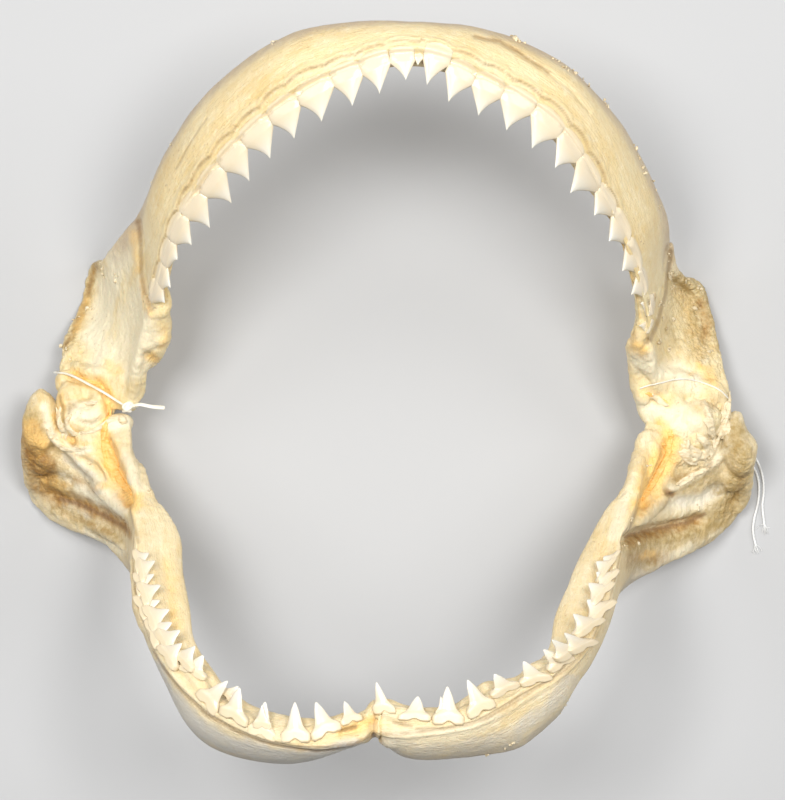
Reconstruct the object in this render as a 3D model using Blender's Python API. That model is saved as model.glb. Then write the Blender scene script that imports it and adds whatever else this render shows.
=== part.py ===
# Dried shark jaw, life size, lying on its back with the mouth open to the sky.
# Metres, +Z up, +X toward the jaw's right half, +Y from the joints toward the upper jaw.
#
# Each half jaw is one cartilage with its teeth. Its tooth edge follows a path in the
# jaw's own plane, which is hinged on the joint line and rises toward the symphysis.
# Cross-sections stand on that path: "out" points away from the mouth, in the jaw's
# plane, and "deep" points from the tooth edge into the cartilage.

import math

import bmesh
import bpy
import numpy as np
from mathutils import Matrix, Vector

# Driving dimensions

JOINT_HEIGHT = 0.028
JOINT_Y = -0.006
RISE = {"upper": math.radians(50), "lower": math.radians(46)}
FACING = {"upper": 1, "lower": -1}
# The jaw is drawn with its joints near X = 0, then moved so that the origin is at the
# middle of its outline on the surface.
ORIGIN_SHIFT = (0.0010, -0.0028, 0.0)
# Air left between two parts that lie against each other.
SEAT_GAP = 0.0005

# Cross-sections along a half, packed toward the joint, and points down its outer face.
STATIONS = 21
JOINT_PACKING = 0.38
LABIAL_POINTS = 7
# Rounding of a cross-section: how far the crest and the tooth edge bulge past the faces, as
# shares of the crest and bar thickness, and how far their corners are drawn in.
CREST_BULGE = {"middle": 0.42, "corner": 0.30}
CREST_INSET = 0.20
EDGE_BULGE = {"inner": 0.10, "outer": 0.08}
EDGE_INSET = {"inner": 0.28, "outer": 0.25}

# Tooth edge of each half, as (sideways, forward of the joint line), symphysis first.
TOOTH_EDGE = {
    "upper_left": (
        (0.0093, 0.1835), (-0.003, 0.182), (-0.018, 0.1755), (-0.037, 0.1655), (-0.056, 0.1475),
        (-0.072, 0.1285), (-0.085, 0.1045), (-0.092, 0.0845), (-0.098, 0.063), (-0.102, 0.039),
        (-0.1055, 0.021), (-0.108, 0.002),
    ),
    "upper_right": (
        (0.0097, 0.1835), (0.022, 0.180), (0.032, 0.175), (0.050, 0.1625), (0.065, 0.1495),
        (0.077, 0.1305), (0.088, 0.1045), (0.095, 0.0855), (0.102, 0.0645), (0.106, 0.045),
        (0.1085, 0.021), (0.110, 0.002),
    ),
    "lower_left": (
        (-0.0057, 0.1665), (-0.016, 0.171), (-0.029, 0.174), (-0.049, 0.170), (-0.071, 0.157),
        (-0.088, 0.136), (-0.098, 0.111), (-0.103, 0.087), (-0.1045, 0.063), (-0.107, 0.041),
        (-0.109, 0.019), (-0.110, 0.002),
    ),
    "lower_right": (
        (-0.0053, 0.1665), (0.009, 0.166), (0.021, 0.165), (0.034, 0.161), (0.050, 0.149),
        (0.066, 0.137), (0.077, 0.123), (0.086, 0.100), (0.091, 0.079), (0.096, 0.056),
        (0.102, 0.033), (0.106, 0.002),
    ),
}

# Width and depth of the block that cuts the flats the jaw rests on, top at Z = 0.
FLOOR_CUTTER = (0.5, 0.1)

# Profiles along a half, as (share of the way from symphysis to joint, value).
DEPTH = {
    "upper_left": ((0, 0.018), (0.1, 0.021), (0.2, 0.025), (0.4, 0.031), (0.6, 0.035),
                   (0.75, 0.039), (0.83, 0.046), (0.90, 0.0592), (0.95, 0.047),
                   (0.975, 0.026), (1, 0.014)),
    "upper_right": ((0, 0.018), (0.1, 0.022), (0.2, 0.025), (0.4, 0.0295), (0.6, 0.033),
                    (0.75, 0.036), (0.83, 0.043), (0.90, 0.057), (0.95, 0.046),
                    (0.975, 0.026), (1, 0.014)),
    "lower_left": ((0, 0.018), (0.2, 0.022), (0.4, 0.023), (0.6, 0.028), (0.75, 0.036),
                   (0.88, 0.043), (0.95, 0.045), (1, 0.042)),
    "lower_right": ((0, 0.018), (0.2, 0.021), (0.4, 0.023), (0.6, 0.028), (0.75, 0.036),
                    (0.88, 0.045), (0.95, 0.047), (1, 0.042)),
}
CREST_OUT = {
    "upper_left": ((0, -0.001), (0.17, 0.006), (0.33, 0.009), (0.5, 0.0085), (0.67, 0.0095),
                   (0.75, 0.015), (0.83, 0.022), (0.90, 0.028), (0.96, 0.033), (1, 0.032)),
    "upper_right": ((0, -0.001), (0.08, 0.001), (0.17, 0.005), (0.33, 0.008), (0.5, 0.0130),
                    (0.67, 0.0145), (0.75, 0.0130), (0.83, 0.0155), (0.92, 0.026), (1, 0.028)),
    "lower_left": ((0, -0.013), (0.17, -0.006), (0.33, 0.000), (0.45, -0.007), (0.67, -0.002),
                   (0.75, 0.002), (0.83, 0.010), (0.92, 0.030), (1, 0.046)),
    "lower_right": ((0, -0.007), (0.08, -0.0015), (0.17, 0.001), (0.25, 0.0065), (0.33, 0.004),
                    (0.42, -0.003), (0.58, -0.003), (0.67, 0.000), (0.75, 0.007),
                    (0.83, 0.016), (0.92, 0.034), (1, 0.046)),
}
BAR_THICKNESS = {
    "upper_left": ((0, 0.012), (0.3, 0.013), (0.5, 0.011), (0.62, 0.007), (0.70, 0.007),
                   (0.80, 0.009), (1, 0.010)),
    "upper_right": ((0, 0.012), (0.3, 0.013), (0.5, 0.010), (0.62, 0.007), (0.70, 0.007),
                    (0.80, 0.009), (1, 0.010)),
    "lower_left": ((0, 0.013), (0.25, 0.015), (0.45, 0.020), (0.70, 0.020), (0.80, 0.014),
                   (0.88, 0.008), (0.94, 0.007), (1, 0.010)),
    "lower_right": ((0, 0.013), (0.25, 0.015), (0.45, 0.020), (0.60, 0.018), (0.75, 0.012),
                    (0.86, 0.0065), (0.93, 0.0065), (1, 0.010)),
}
CREST_THICKNESS = {
    "upper": ((0, 0.008), (0.3, 0.009), (0.6, 0.008), (0.75, 0.005), (0.9, 0.005), (1, 0.009)),
    "lower": ((0, 0.009), (0.5, 0.010), (0.75, 0.006), (0.9, 0.005), (1, 0.006)),
}
BOW = {
    "upper": ((0, 0.002), (0.3, 0.004), (0.6, 0.004), (0.75, 0.002), (1, 0.0)),
    "lower": ((0, 0.002), (0.4, 0.003), (0.7, 0.003), (0.85, 0.001), (1, 0.0)),
}
# How the outer face runs from the tooth edge (0) to the crest (1): powers above one keep
# it back at first, so a high power of "out" gives a bar with a flared plate beyond it.
OUT_POWER = {
    "upper": ((0, 1.0), (0.6, 1.0), (0.75, 1.8), (0.88, 1.4), (1, 0.7)),
    "lower": ((0, 1.0), (0.65, 1.0), (0.8, 2.0), (0.9, 1.3), (1, 0.5)),
}
DEEP_POWER = {
    "upper": ((0, 1.0), (0.8, 1.0), (0.92, 1.3), (1, 2.0)),
    "lower": ((0, 1.0), (0.8, 1.0), (0.92, 1.5), (1, 2.4)),
}

# Teeth: widths and lengths along the tooth edge, as (distance from the symphysis, value).
TOOTH_WIDTH = {
    "upper_left": ((0, 0.011), (0.020, 0.012), (0.045, 0.0145), (0.075, 0.0152),
                   (0.105, 0.0150), (0.125, 0.013), (0.145, 0.0105), (0.165, 0.009)),
    "upper_right": ((0, 0.0118), (0.040, 0.0125), (0.060, 0.014), (0.100, 0.0145),
                    (0.130, 0.0145), (0.150, 0.012), (0.168, 0.010)),
    "lower_left": ((0, 0.0125), (0.060, 0.0125), (0.110, 0.012), (0.170, 0.009)),
    "lower_right": ((0, 0.0128), (0.060, 0.0122), (0.110, 0.0118), (0.160, 0.009)),
}
TOOTH_LENGTH = {
    "upper": ((0, 0.0125), (0.025, 0.0155), (0.045, 0.017), (0.095, 0.017), (0.120, 0.0145),
              (0.145, 0.011), (0.168, 0.0075)),
    "lower": ((0, 0.0115), (0.020, 0.0155), (0.080, 0.0155), (0.110, 0.012), (0.135, 0.008),
              (0.170, 0.0055)),
}
TOOTH_TILT = {
    "upper_left": ((0, 46), (0.060, 52), (0.110, 66), (0.130, 48), (0.165, 30)),
    "upper_right": ((0, 50), (0.060, 46), (0.080, 34), (0.100, 20), (0.150, 20), (0.168, 35)),
    "lower_left": ((0, 50), (0.040, 46), (0.060, 32), (0.100, 40), (0.135, 62), (0.170, 66)),
    "lower_right": ((0, 48), (0.035, 46), (0.055, 22), (0.090, 20), (0.130, 58), (0.170, 66)),
}
TOOTH_LEAN = {"upper": ((0, 3), (0.050, 8), (0.120, 14), (0.170, 14)),
              "lower": ((0, 0), (0.060, 3), (0.170, 12))}
TOOTH_ROW_END = {"upper_left": 0.166, "upper_right": 0.170,
                 "lower_left": 0.170, "lower_right": 0.163}
FIRST_TOOTH_AT = {"upper_left": 0.002, "upper_right": 0.001,
                  "lower_left": 0.004, "lower_right": 0.0008}
# Rings of a tooth: (share of its length, half width and half thickness, as shares of its
# width, shift away from the symphysis as a share of its width).
TOOTH_RINGS = {
    "upper": ((-0.20, 0.42, 0.17, 0.0), (0.10, 0.48, 0.195, 0.0), (0.45, 0.33, 0.125, 0.03)),
    "lower": ((-0.20, 0.40, 0.185, 0.0), (0.12, 0.46, 0.195, 0.0), (0.34, 0.22, 0.15, 0.0)),
}
TIP_SHIFT = {"upper": 0.16, "lower": 0.05}
TOOTH_SIDES = 6
# How far in from the outer face the root stands, as a share of the bar's thickness.
ROOT_INSET = 0.26

# Joints: the upper jaw's rounded condyle sits in a cup in the lower jaw's end, beside a
# lobe of the lower jaw that stands outside it. Dried ligament fills the cup's inner edge.
CONDYLE_CENTRE = {"left": (-0.1275, -0.0068, 0.0285), "right": (0.1280, -0.0088, 0.0285)}
CONDYLE_RADII = (0.0095, 0.0070, 0.0075)
LOBE_CENTRE = {"left": (-0.1487, -0.0100, 0.0235), "right": (0.1467, -0.0180, 0.0235)}
LOBE_RADII = (0.0072, 0.0145, 0.0085)
# The ligament lies along the lower jaw: how far along the half, how far out, how high.
LIGAMENT = {"share": 0.945, "out": 0.0055, "rise": -0.0005}
LIGAMENT_RADII = (0.0050, 0.0125, 0.0040)

# Ties, each drawn round the upper jaw's end: stiff nylon on the left, thin line on the
# right. "inner" and "outer" are how far along the half the loop crosses each margin.
TIES = {
    "nylon_tie_left": {"side": "left", "inner": 0.975, "outer": 1.0, "radius": 0.00125,
                       "gap": 0.0014, "knot": (0.0034, 0.0028, 0.0028), "tail": 0.0175,
                       "sides": 7},
    "thin_line_right": {"side": "right", "inner": 0.978, "outer": 0.998, "radius": 0.0004,
                        "gap": 0.0022, "knot": (0.0013, 0.0012, 0.0012), "tail": 0.005,
                        "sides": 6},
}
LOOP_POINTS = 24
TAIL_ARCH = (0, 0.0006, 0.0012)

# A cotton string is knotted behind the right joint. Its two ends run out on the surface.
STRING_RADIUS = 0.0005
STRING_KNOT_CENTRE = (0.1435, -0.0147, 0.0028)
STRING_KNOT_RADII = (0.0028, 0.0024, 0.0024)
STRING_ENDS = {
    "string_end_long": (
        (0.1427, -0.0177, 0.0024), (0.1452, -0.0215, 0.0012), (0.1502, -0.0248, 0.0010),
        (0.1550, -0.0290, 0.0010), (0.1572, -0.0352, 0.0010), (0.1571, -0.0430, 0.0010),
        (0.1552, -0.0515, 0.0010), (0.1548, -0.0567, 0.0010), (0.1560, -0.0627, 0.0010),
    ),
    "string_end_short": (
        (0.1458, -0.0170, 0.0024), (0.1500, -0.0200, 0.0012), (0.1548, -0.0236, 0.0010),
        (0.1576, -0.0285, 0.0010), (0.1592, -0.0345, 0.0010), (0.1593, -0.0405, 0.0010),
        (0.1588, -0.0448, 0.0010), (0.1591, -0.0490, 0.0010), (0.1597, -0.0541, 0.0010),
    ),
}
STRING_POINTS = 25

COLOURS = {
    "cartilage_upper": ((0.76, 0.65, 0.42), 0.42),
    "cartilage_lower": ((0.72, 0.61, 0.40), 0.45),
    "ligament": ((0.74, 0.42, 0.16), 0.55),
    "nylon": ((0.80, 0.80, 0.76), 0.25),
    "cotton": ((0.86, 0.86, 0.84), 0.90),
}


def clear_scene():
    for item in list(bpy.data.objects):
        bpy.data.objects.remove(item, do_unlink=True)


def make_material(name):
    colour, roughness = COLOURS[name]
    material = bpy.data.materials.new(name)
    material.use_nodes = True
    shader = material.node_tree.nodes["Principled BSDF"]
    shader.inputs["Base Color"].default_value = (*colour, 1.0)
    shader.inputs["Roughness"].default_value = roughness
    shader.inputs["Metallic"].default_value = 0.0
    return material


def add_object(name, mesh, material):
    item = bpy.data.objects.new(name, mesh)
    bpy.context.scene.collection.objects.link(item)
    if material is not None:
        mesh.materials.append(material)
    return item


def add_cutter(name, mesh):
    cutter = add_object(name, mesh, None)
    cutter.hide_render = True
    cutter.display_type = "WIRE"
    return cutter


def add_boolean(item, operand, operation):
    modifier = item.modifiers.new(operand.name, "BOOLEAN")
    modifier.operation = operation
    modifier.object = operand


def profile(keys, at):
    """Smooth value between keys: a cubic that never overshoots them."""
    xs = [key[0] for key in keys]
    ys = [key[1] for key in keys]
    if at <= xs[0]:
        return ys[0]
    if at >= xs[-1]:
        return ys[-1]
    slopes = [(ys[i + 1] - ys[i]) / (xs[i + 1] - xs[i]) for i in range(len(xs) - 1)]
    tangents = [0.0]
    for before, after in zip(slopes, slopes[1:]):
        same_way = before * after > 0
        tangents.append(2 * before * after / (before + after) if same_way else 0.0)
    tangents.append(0.0)
    i = max(k for k in range(len(slopes)) if xs[k] <= at)
    step = xs[i + 1] - xs[i]
    u = (at - xs[i]) / step
    rise = u * u * (3 - 2 * u)
    start = u * (1 - u) ** 2 * step * tangents[i]
    end = -u * u * (1 - u) * step * tangents[i + 1]
    return ys[i] + (ys[i + 1] - ys[i]) * rise + start + end


def curve_through(points, before, after, samples=60):
    """Catmull-Rom curve through the points, evenly spaced, with phantom end points."""
    guides = [np.array(p, float) for p in (before, *points, after)]
    dense = []
    for p0, p1, p2, p3 in zip(guides, guides[1:], guides[2:], guides[3:]):
        for u in np.linspace(0, 1, samples, endpoint=False):
            dense.append(0.5 * (2 * p1 + (p2 - p0) * u + (2 * p0 - 5 * p1 + 4 * p2 - p3) * u * u
                                + (3 * p1 - p0 - 3 * p2 + p3) * u ** 3))
    dense.append(guides[-2])
    return np.array(dense)


class HalfJaw:
    """The path, frame and cross-sections of one half jaw."""

    def __init__(self, jaw, side):
        self.jaw = jaw
        self.side = side
        self.key = f"{jaw}_{side}"
        self.outward = -1 if side == "left" else 1
        edge = TOOTH_EDGE[self.key]
        before = (2 * edge[0][0] - edge[1][0], edge[1][1])
        after = (edge[-2][0], 2 * edge[-1][1] - edge[-2][1])
        self.path = curve_through(edge, before, after)
        steps = np.linalg.norm(np.diff(self.path, axis=0), axis=1)
        self.distance = np.concatenate(([0.0], np.cumsum(steps)))
        self.length = self.distance[-1]
        rise = RISE[jaw]
        facing = FACING[jaw]
        self.forward_axis = Vector((0, facing * math.sin(rise), math.cos(rise)))
        self.deep_axis = Vector((0, facing * math.cos(rise), -math.sin(rise)))
        self.origin = Vector((0, JOINT_Y, JOINT_HEIGHT))

    def at(self, distance):
        """Place on the tooth edge and the out direction, both in the jaw's plane."""
        distance = min(max(distance, 0.0), self.length)
        place = [np.interp(distance, self.distance, self.path[:, k]) for k in (0, 1)]
        reach = 0.002
        ends = [[np.interp(d, self.distance, self.path[:, k]) for k in (0, 1)]
                for d in (distance - reach, distance + reach)]
        along = np.subtract(ends[1], ends[0])
        if distance < reach:
            along = np.array([self.outward, 0.0])
        elif distance > self.length - reach:
            along = np.array([0.0, -1.0])
        along = along / np.linalg.norm(along)
        out = np.array([-along[1], along[0]]) * self.outward
        return np.array(place), along, out

    def world(self, flat, deep):
        return (self.origin + Vector((flat[0], 0, 0)) + self.forward_axis * flat[1]
                + self.deep_axis * deep)

    def direction(self, flat, deep=0.0):
        return (Vector((flat[0], 0, 0)) + self.forward_axis * flat[1] + self.deep_axis * deep)

    def section(self, share, grow=0.0):
        """Closed outline as (out, deep): outer face, crest, inner face, tooth edge."""
        depth = profile(DEPTH[self.key], share)
        crest_out = profile(CREST_OUT[self.key], share)
        bar = profile(BAR_THICKNESS[self.key], share)
        crest = profile(CREST_THICKNESS[self.jaw], share)
        bow = profile(BOW[self.jaw], share)
        out_power = profile(OUT_POWER[self.jaw], share)
        deep_power = profile(DEEP_POWER[self.jaw], share)

        def outer(v):
            swell = bow * math.sin(math.pi * v)
            return np.array([crest_out * v ** out_power + swell, depth * v ** deep_power])

        outer_face = []
        inner_face = []
        for v in np.linspace(0, 1, LABIAL_POINTS):
            slope = outer(min(v + 0.02, 1.0)) - outer(max(v - 0.02, 0.0))
            slope = slope / np.linalg.norm(slope)
            normal = np.array([slope[1], -slope[0]])
            thickness = bar + (crest - bar) * v * v * (3 - 2 * v)
            outer_face.append(outer(v) + normal * grow)
            inner_face.append(outer(v) - normal * (thickness + grow))
        across = inner_face[-1] - outer_face[-1]
        corner = slope * (crest * CREST_BULGE["corner"] + grow)
        crest_outer = outer_face[-1] + across * CREST_INSET + corner
        crest_inner = inner_face[-1] - across * CREST_INSET + corner
        tip = outer_face[-1] + across / 2 + slope * (crest * CREST_BULGE["middle"] + grow)
        across = inner_face[0] - outer_face[0]
        edge_inner = inner_face[0] - across * EDGE_INSET["inner"]
        edge_inner = edge_inner - np.array([0, EDGE_BULGE["inner"] * bar + grow])
        edge_outer = outer_face[0] + across * EDGE_INSET["outer"]
        edge_outer = edge_outer - np.array([0, EDGE_BULGE["outer"] * bar + grow])
        return [*outer_face, crest_outer, tip, crest_inner, *inner_face[::-1], edge_inner, edge_outer]

    def loft(self, grow=0.0, stations=STATIONS):
        """Closed mesh through all cross-sections, with a flat end at each end."""
        mesh = bmesh.new()
        rings = []
        for index in range(stations + 1):
            even = index / stations
            share = even + JOINT_PACKING * (math.sin(math.pi / 2 * even) - even)
            place, _, out = self.at(share * self.length)
            if index == 0:
                place = place - np.array([self.outward * grow, 0])
            if index == stations:
                place = place - np.array([0, grow])
            outline = self.section(share, grow)
            rings.append([mesh.verts.new(self.world(place + out * p[0], p[1])) for p in outline])
        count = len(rings[0])
        for first, second in zip(rings, rings[1:]):
            for k in range(count):
                after = (k + 1) % count
                mesh.faces.new((first[k], first[after], second[after]))
                mesh.faces.new((first[k], second[after], second[k]))
        for ring in (rings[0], rings[-1]):
            self.cap(mesh, ring)
        bmesh.ops.recalc_face_normals(mesh, faces=mesh.faces)
        return mesh

    def cap(self, mesh, ring):
        """End face, filled across from the outer to the inner side."""
        count = len(ring)
        crest = LABIAL_POINTS + 1
        for k in range(crest):
            low_outer, high_outer = ring[k], ring[k + 1]
            low_inner, high_inner = ring[(2 * crest - k) % count], ring[2 * crest - k - 1]
            if high_outer is high_inner:
                mesh.faces.new((low_outer, high_outer, low_inner))
            else:
                mesh.faces.new((low_outer, high_outer, high_inner, low_inner))
        mesh.faces.new((ring[0], ring[2 * crest], ring[count - 2], ring[count - 1]))

    def tooth_places(self):
        """Distance along the tooth edge and width of each tooth."""
        places = []
        distance = FIRST_TOOTH_AT[self.key]
        while distance < TOOTH_ROW_END[self.key]:
            width = profile(TOOTH_WIDTH[self.key], distance)
            places.append((distance + width / 2, width))
            distance += width
        return places

    def teeth(self):
        """All functional teeth of the half, as separate closed shells in one mesh."""
        mesh = bmesh.new()
        for distance, width in self.tooth_places():
            self.add_tooth(mesh, distance, width)
        bmesh.ops.recalc_face_normals(mesh, faces=mesh.faces)
        return mesh

    def add_tooth(self, mesh, distance, width):
        place, along, out = self.at(distance)
        bar = profile(BAR_THICKNESS[self.key], distance / self.length)
        length = profile(TOOTH_LENGTH[self.jaw], distance)
        tilt = math.radians(profile(TOOTH_TILT[self.key], distance))
        lean = math.radians(profile(TOOTH_LEAN[self.jaw], distance))
        base = self.world(place - out * bar * ROOT_INSET, 0.0)
        along_axis = self.direction(along)
        out_axis = self.direction(out)
        upright = -self.deep_axis * math.cos(tilt) - out_axis * math.sin(tilt)
        growth = upright * math.cos(lean) + along_axis * math.sin(lean)
        width_axis = (along_axis - growth * along_axis.dot(growth)).normalized()
        thick_axis = growth.cross(width_axis)
        rings = []
        for up, half_width, half_thick, shift in TOOTH_RINGS[self.jaw]:
            ring = []
            for turn in range(TOOTH_SIDES):
                angle = math.tau * turn / TOOTH_SIDES
                offset = width_axis * (width * (half_width * math.cos(angle) + shift))
                offset += thick_axis * (width * half_thick * math.sin(angle))
                ring.append(mesh.verts.new(base + growth * (length * up) + offset))
            rings.append(ring)
        tip = mesh.verts.new(base + growth * length + width_axis * (width * TIP_SHIFT[self.jaw]))
        mesh.faces.new(rings[0])
        for first, second in zip(rings, rings[1:]):
            for k in range(TOOTH_SIDES):
                after = (k + 1) % TOOTH_SIDES
                mesh.faces.new((first[k], first[after], second[after], second[k]))
        for k in range(TOOTH_SIDES):
            mesh.faces.new((rings[-1][k], rings[-1][(k + 1) % TOOTH_SIDES], tip))


def to_mesh(bmesh_data, name):
    mesh = bpy.data.meshes.new(name)
    bmesh_data.to_mesh(mesh)
    bmesh_data.free()
    return mesh


def smooth(mesh):
    mesh.shade_smooth()
    mesh.set_sharp_from_angle(angle=math.radians(40))


def ellipsoid(name, centre, radii, segments=12, rings=8, turn=Matrix.Identity(4)):
    data = bmesh.new()
    place = Matrix.Translation(centre) @ turn @ Matrix.Diagonal((*radii, 1.0))
    bmesh.ops.create_uvsphere(data, u_segments=segments, v_segments=rings, radius=1.0, matrix=place)
    return to_mesh(data, name)


def grown(radii, gap):
    return tuple(radius + gap for radius in radii)


def floor_cutter():
    data = bmesh.new()
    width, depth = FLOOR_CUTTER
    place = Matrix.Translation((0, 0, -depth / 2)) @ Matrix.Diagonal((width, width, depth, 1.0))
    bmesh.ops.create_cube(data, size=1.0, matrix=place)
    return add_cutter("floor_cutter", to_mesh(data, "floor_cutter"))


def tube(name, points, radius, sides):
    """Closed round tube along the points, with its frame carried along the curve."""
    data = bmesh.new()
    points = [Vector(point) for point in points]
    across = None
    rings = []
    for index, point in enumerate(points):
        ahead = points[min(index + 1, len(points) - 1)] - points[max(index - 1, 0)]
        ahead.normalize()
        across = ahead.orthogonal() if across is None else across - ahead * across.dot(ahead)
        across.normalize()
        second = ahead.cross(across)
        ring = []
        for turn in range(sides):
            angle = math.tau * turn / sides
            spoke = across * math.cos(angle) + second * math.sin(angle)
            ring.append(data.verts.new(point + spoke * radius))
        rings.append(ring)
    for first, after in zip(rings, rings[1:]):
        for k in range(sides):
            data.faces.new((first[k], first[(k + 1) % sides], after[(k + 1) % sides], after[k]))
    data.faces.new(rings[0])
    data.faces.new(rings[-1])
    bmesh.ops.recalc_face_normals(data, faces=data.faces)
    return to_mesh(data, name)


def convex_hull(points):
    """Hull of flat points, in order round it."""
    def turn(a, b, c):
        return (b[0] - a[0]) * (c[1] - a[1]) - (b[1] - a[1]) * (c[0] - a[0])

    hull = []
    for ordered in (sorted(map(tuple, points)), sorted(map(tuple, points), reverse=True)):
        chain = []
        for point in ordered:
            while len(chain) > 1 and turn(chain[-2], chain[-1], point) <= 0:
                chain.pop()
            chain.append(point)
        hull += chain[:-1]
    return hull


def evenly(points, count):
    """The same line with evenly spaced points."""
    points = np.array(points)
    along = np.concatenate(([0.0], np.cumsum(np.linalg.norm(np.diff(points, axis=0), axis=1))))
    wanted = np.linspace(0, along[-1], count)
    return np.stack([np.interp(wanted, along, points[:, k]) for k in range(points.shape[1])], 1)


def tight_ring(half, share, grow):
    """Loop drawn tight round one cross-section, starting at its inner front corner."""
    hull = convex_hull(half.section(share, grow=grow))
    start = min(range(len(hull)), key=lambda k: hull[k][0] + hull[k][1])
    return evenly(hull[start:] + hull[:start + 1], LOOP_POINTS + 1)


def tie_loop(tie):
    """Points of a loop drawn tight round the upper jaw's end, from its knot and back."""
    half = HalfJaw("upper", tie["side"])
    grow = tie["radius"] + tie["gap"]
    inner_ring = tight_ring(half, tie["inner"], grow)
    outer_ring = tight_ring(half, tie["outer"], grow)
    reach = profile(CREST_OUT[half.key], tie["outer"])
    loop = []
    for inner_point, outer_point in zip(inner_ring, outer_ring):
        across = min(max((inner_point[0] + outer_point[0]) / (2 * reach), 0.0), 1.0)
        out_by, deep = inner_point + (outer_point - inner_point) * across
        share = tie["inner"] + (tie["outer"] - tie["inner"]) * across
        place, _, out = half.at(share * half.length)
        point = half.world(place + out * out_by, deep)
        loop.append(clear_of_condyle(point, tie["side"], grow))
    return half, loop


def clear_of_condyle(point, side, clearance):
    """The point, pushed straight out of the condyle if it would be in it."""
    offset = point - Vector(CONDYLE_CENTRE[side])
    shares = [offset[k] / (CONDYLE_RADII[k] + clearance) for k in range(3)]
    depth = Vector(shares).length
    return point if depth >= 1 else point + offset * (1 / depth - 1)


def make_tie(name, tie, material):
    """Loop, knot and free tail as one solid. The tail points into the mouth."""
    half, loop = tie_loop(tie)
    inward = Vector((-half.outward, 0, 0))
    start = loop[0]
    tail = [start + inward * (tie["tail"] * u) + Vector(TAIL_ARCH) * math.sin(math.pi * u)
            for u in (1.0, 0.75, 0.5, 0.3)]
    route = [*tail, start + inward * tie["radius"] * 0.8, *loop[1:-1]]
    item = add_object(name, tube(name, route, tie["radius"], tie["sides"]), material)
    middle = sum(loop, Vector()) / len(loop)
    centre = start + (start - middle).normalized() * (tie["knot"][0] - tie["radius"])
    knot = ellipsoid(f"{name}_knot", centre, tie["knot"], segments=10, rings=7)
    add_boolean(item, add_cutter(f"{name}_knot", knot), "UNION")
    bed = to_mesh(half.loft(grow=SEAT_GAP), f"{name}_bed")
    add_boolean(item, add_cutter(f"{name}_bed", bed), "DIFFERENCE")
    smooth(item.data)
    return item


def make_string_end(name, points, material):
    """Free end of the cotton string: a round cord along a smooth curve."""
    before = np.subtract(np.multiply(points[0], 2), points[1])
    after = np.subtract(np.multiply(points[-1], 2), points[-2])
    route = evenly(curve_through(points, before, after), STRING_POINTS)
    curve = bpy.data.curves.new(name, "CURVE")
    curve.dimensions = "3D"
    curve.bevel_depth = STRING_RADIUS
    curve.bevel_resolution = 2
    curve.use_fill_caps = True
    spline = curve.splines.new("POLY")
    spline.points.add(len(route) - 1)
    for point, place in zip(spline.points, route):
        point.co = (*place, 1.0)
    curve.materials.append(material)
    item = bpy.data.objects.new(name, curve)
    bpy.context.scene.collection.objects.link(item)
    return item


def make_ligament(side, material):
    """Dried ligament lying on the lower jaw's end, clear of every cartilage."""
    name = f"joint_ligament_{side}"
    half = HalfJaw("lower", side)
    place, along, out = half.at(LIGAMENT["share"] * half.length)
    centre = half.world(place + out * LIGAMENT["out"], -LIGAMENT["rise"])
    axes = (half.direction(out), half.direction(along), half.deep_axis)
    turn = Matrix(axes).transposed().to_4x4()
    item = add_object(name, ellipsoid(name, centre, LIGAMENT_RADII, 12, 8, turn), material)
    for jaw in ("upper", "lower"):
        shape = to_mesh(HalfJaw(jaw, side).loft(grow=SEAT_GAP), f"{jaw}_clearance_{side}")
        add_boolean(item, add_cutter(f"{jaw}_clearance_{side}", shape), "DIFFERENCE")
    ends = {"condyle": (CONDYLE_CENTRE, CONDYLE_RADII), "lobe": (LOBE_CENTRE, LOBE_RADII)}
    for end, (centre, radii) in ends.items():
        shape = ellipsoid(f"{end}_clearance_{side}", centre[side], grown(radii, SEAT_GAP))
        add_boolean(item, add_cutter(f"{end}_clearance_{side}", shape), "DIFFERENCE")
    smooth(item.data)
    return item


def make_half(half, floor, material):
    """Cartilage, teeth and joint end of one half jaw as one solid."""
    name = f"{half.jaw}_jaw_{half.side}"
    item = add_object(name, to_mesh(half.loft(), name), material)
    if half.jaw == "upper":
        condyle = ellipsoid(f"condyle_{half.side}", CONDYLE_CENTRE[half.side], CONDYLE_RADII)
        add_boolean(item, add_cutter(f"condyle_{half.side}", condyle), "UNION")
    else:
        lobe = ellipsoid(f"lobe_{half.side}", LOBE_CENTRE[half.side], LOBE_RADII)
        add_boolean(item, add_cutter(f"lobe_{half.side}", lobe), "UNION")
        cup = ellipsoid(f"cup_{half.side}", CONDYLE_CENTRE[half.side], grown(CONDYLE_RADII, SEAT_GAP))
        add_boolean(item, add_cutter(f"cup_{half.side}", cup), "DIFFERENCE")
    teeth = add_cutter(f"teeth_{half.key}", to_mesh(half.teeth(), f"teeth_{half.key}"))
    add_boolean(item, teeth, "UNION")
    add_boolean(item, floor, "DIFFERENCE")
    smooth(item.data)
    return item


def main():
    clear_scene()
    upper_material = make_material("cartilage_upper")
    lower_material = make_material("cartilage_lower")
    ligament_material = make_material("ligament")
    nylon_material = make_material("nylon")
    cotton_material = make_material("cotton")
    floor = floor_cutter()
    for side in ("left", "right"):
        make_half(HalfJaw("upper", side), floor, upper_material)
        make_half(HalfJaw("lower", side), floor, lower_material)
        make_ligament(side, ligament_material)
    for name, tie in TIES.items():
        make_tie(name, tie, nylon_material)
    knot = ellipsoid("string_knot_right", STRING_KNOT_CENTRE, STRING_KNOT_RADII, 10, 7)
    smooth(knot)
    add_object("string_knot_right", knot, cotton_material)
    for name, points in STRING_ENDS.items():
        make_string_end(name, points, cotton_material)
    whole = bpy.data.objects.new("shark_jaw", None)
    bpy.context.scene.collection.objects.link(whole)
    for item in list(bpy.data.objects):
        if item is not whole:
            item.parent = whole
    whole.location = ORIGIN_SHIFT


main()
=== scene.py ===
import math

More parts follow.
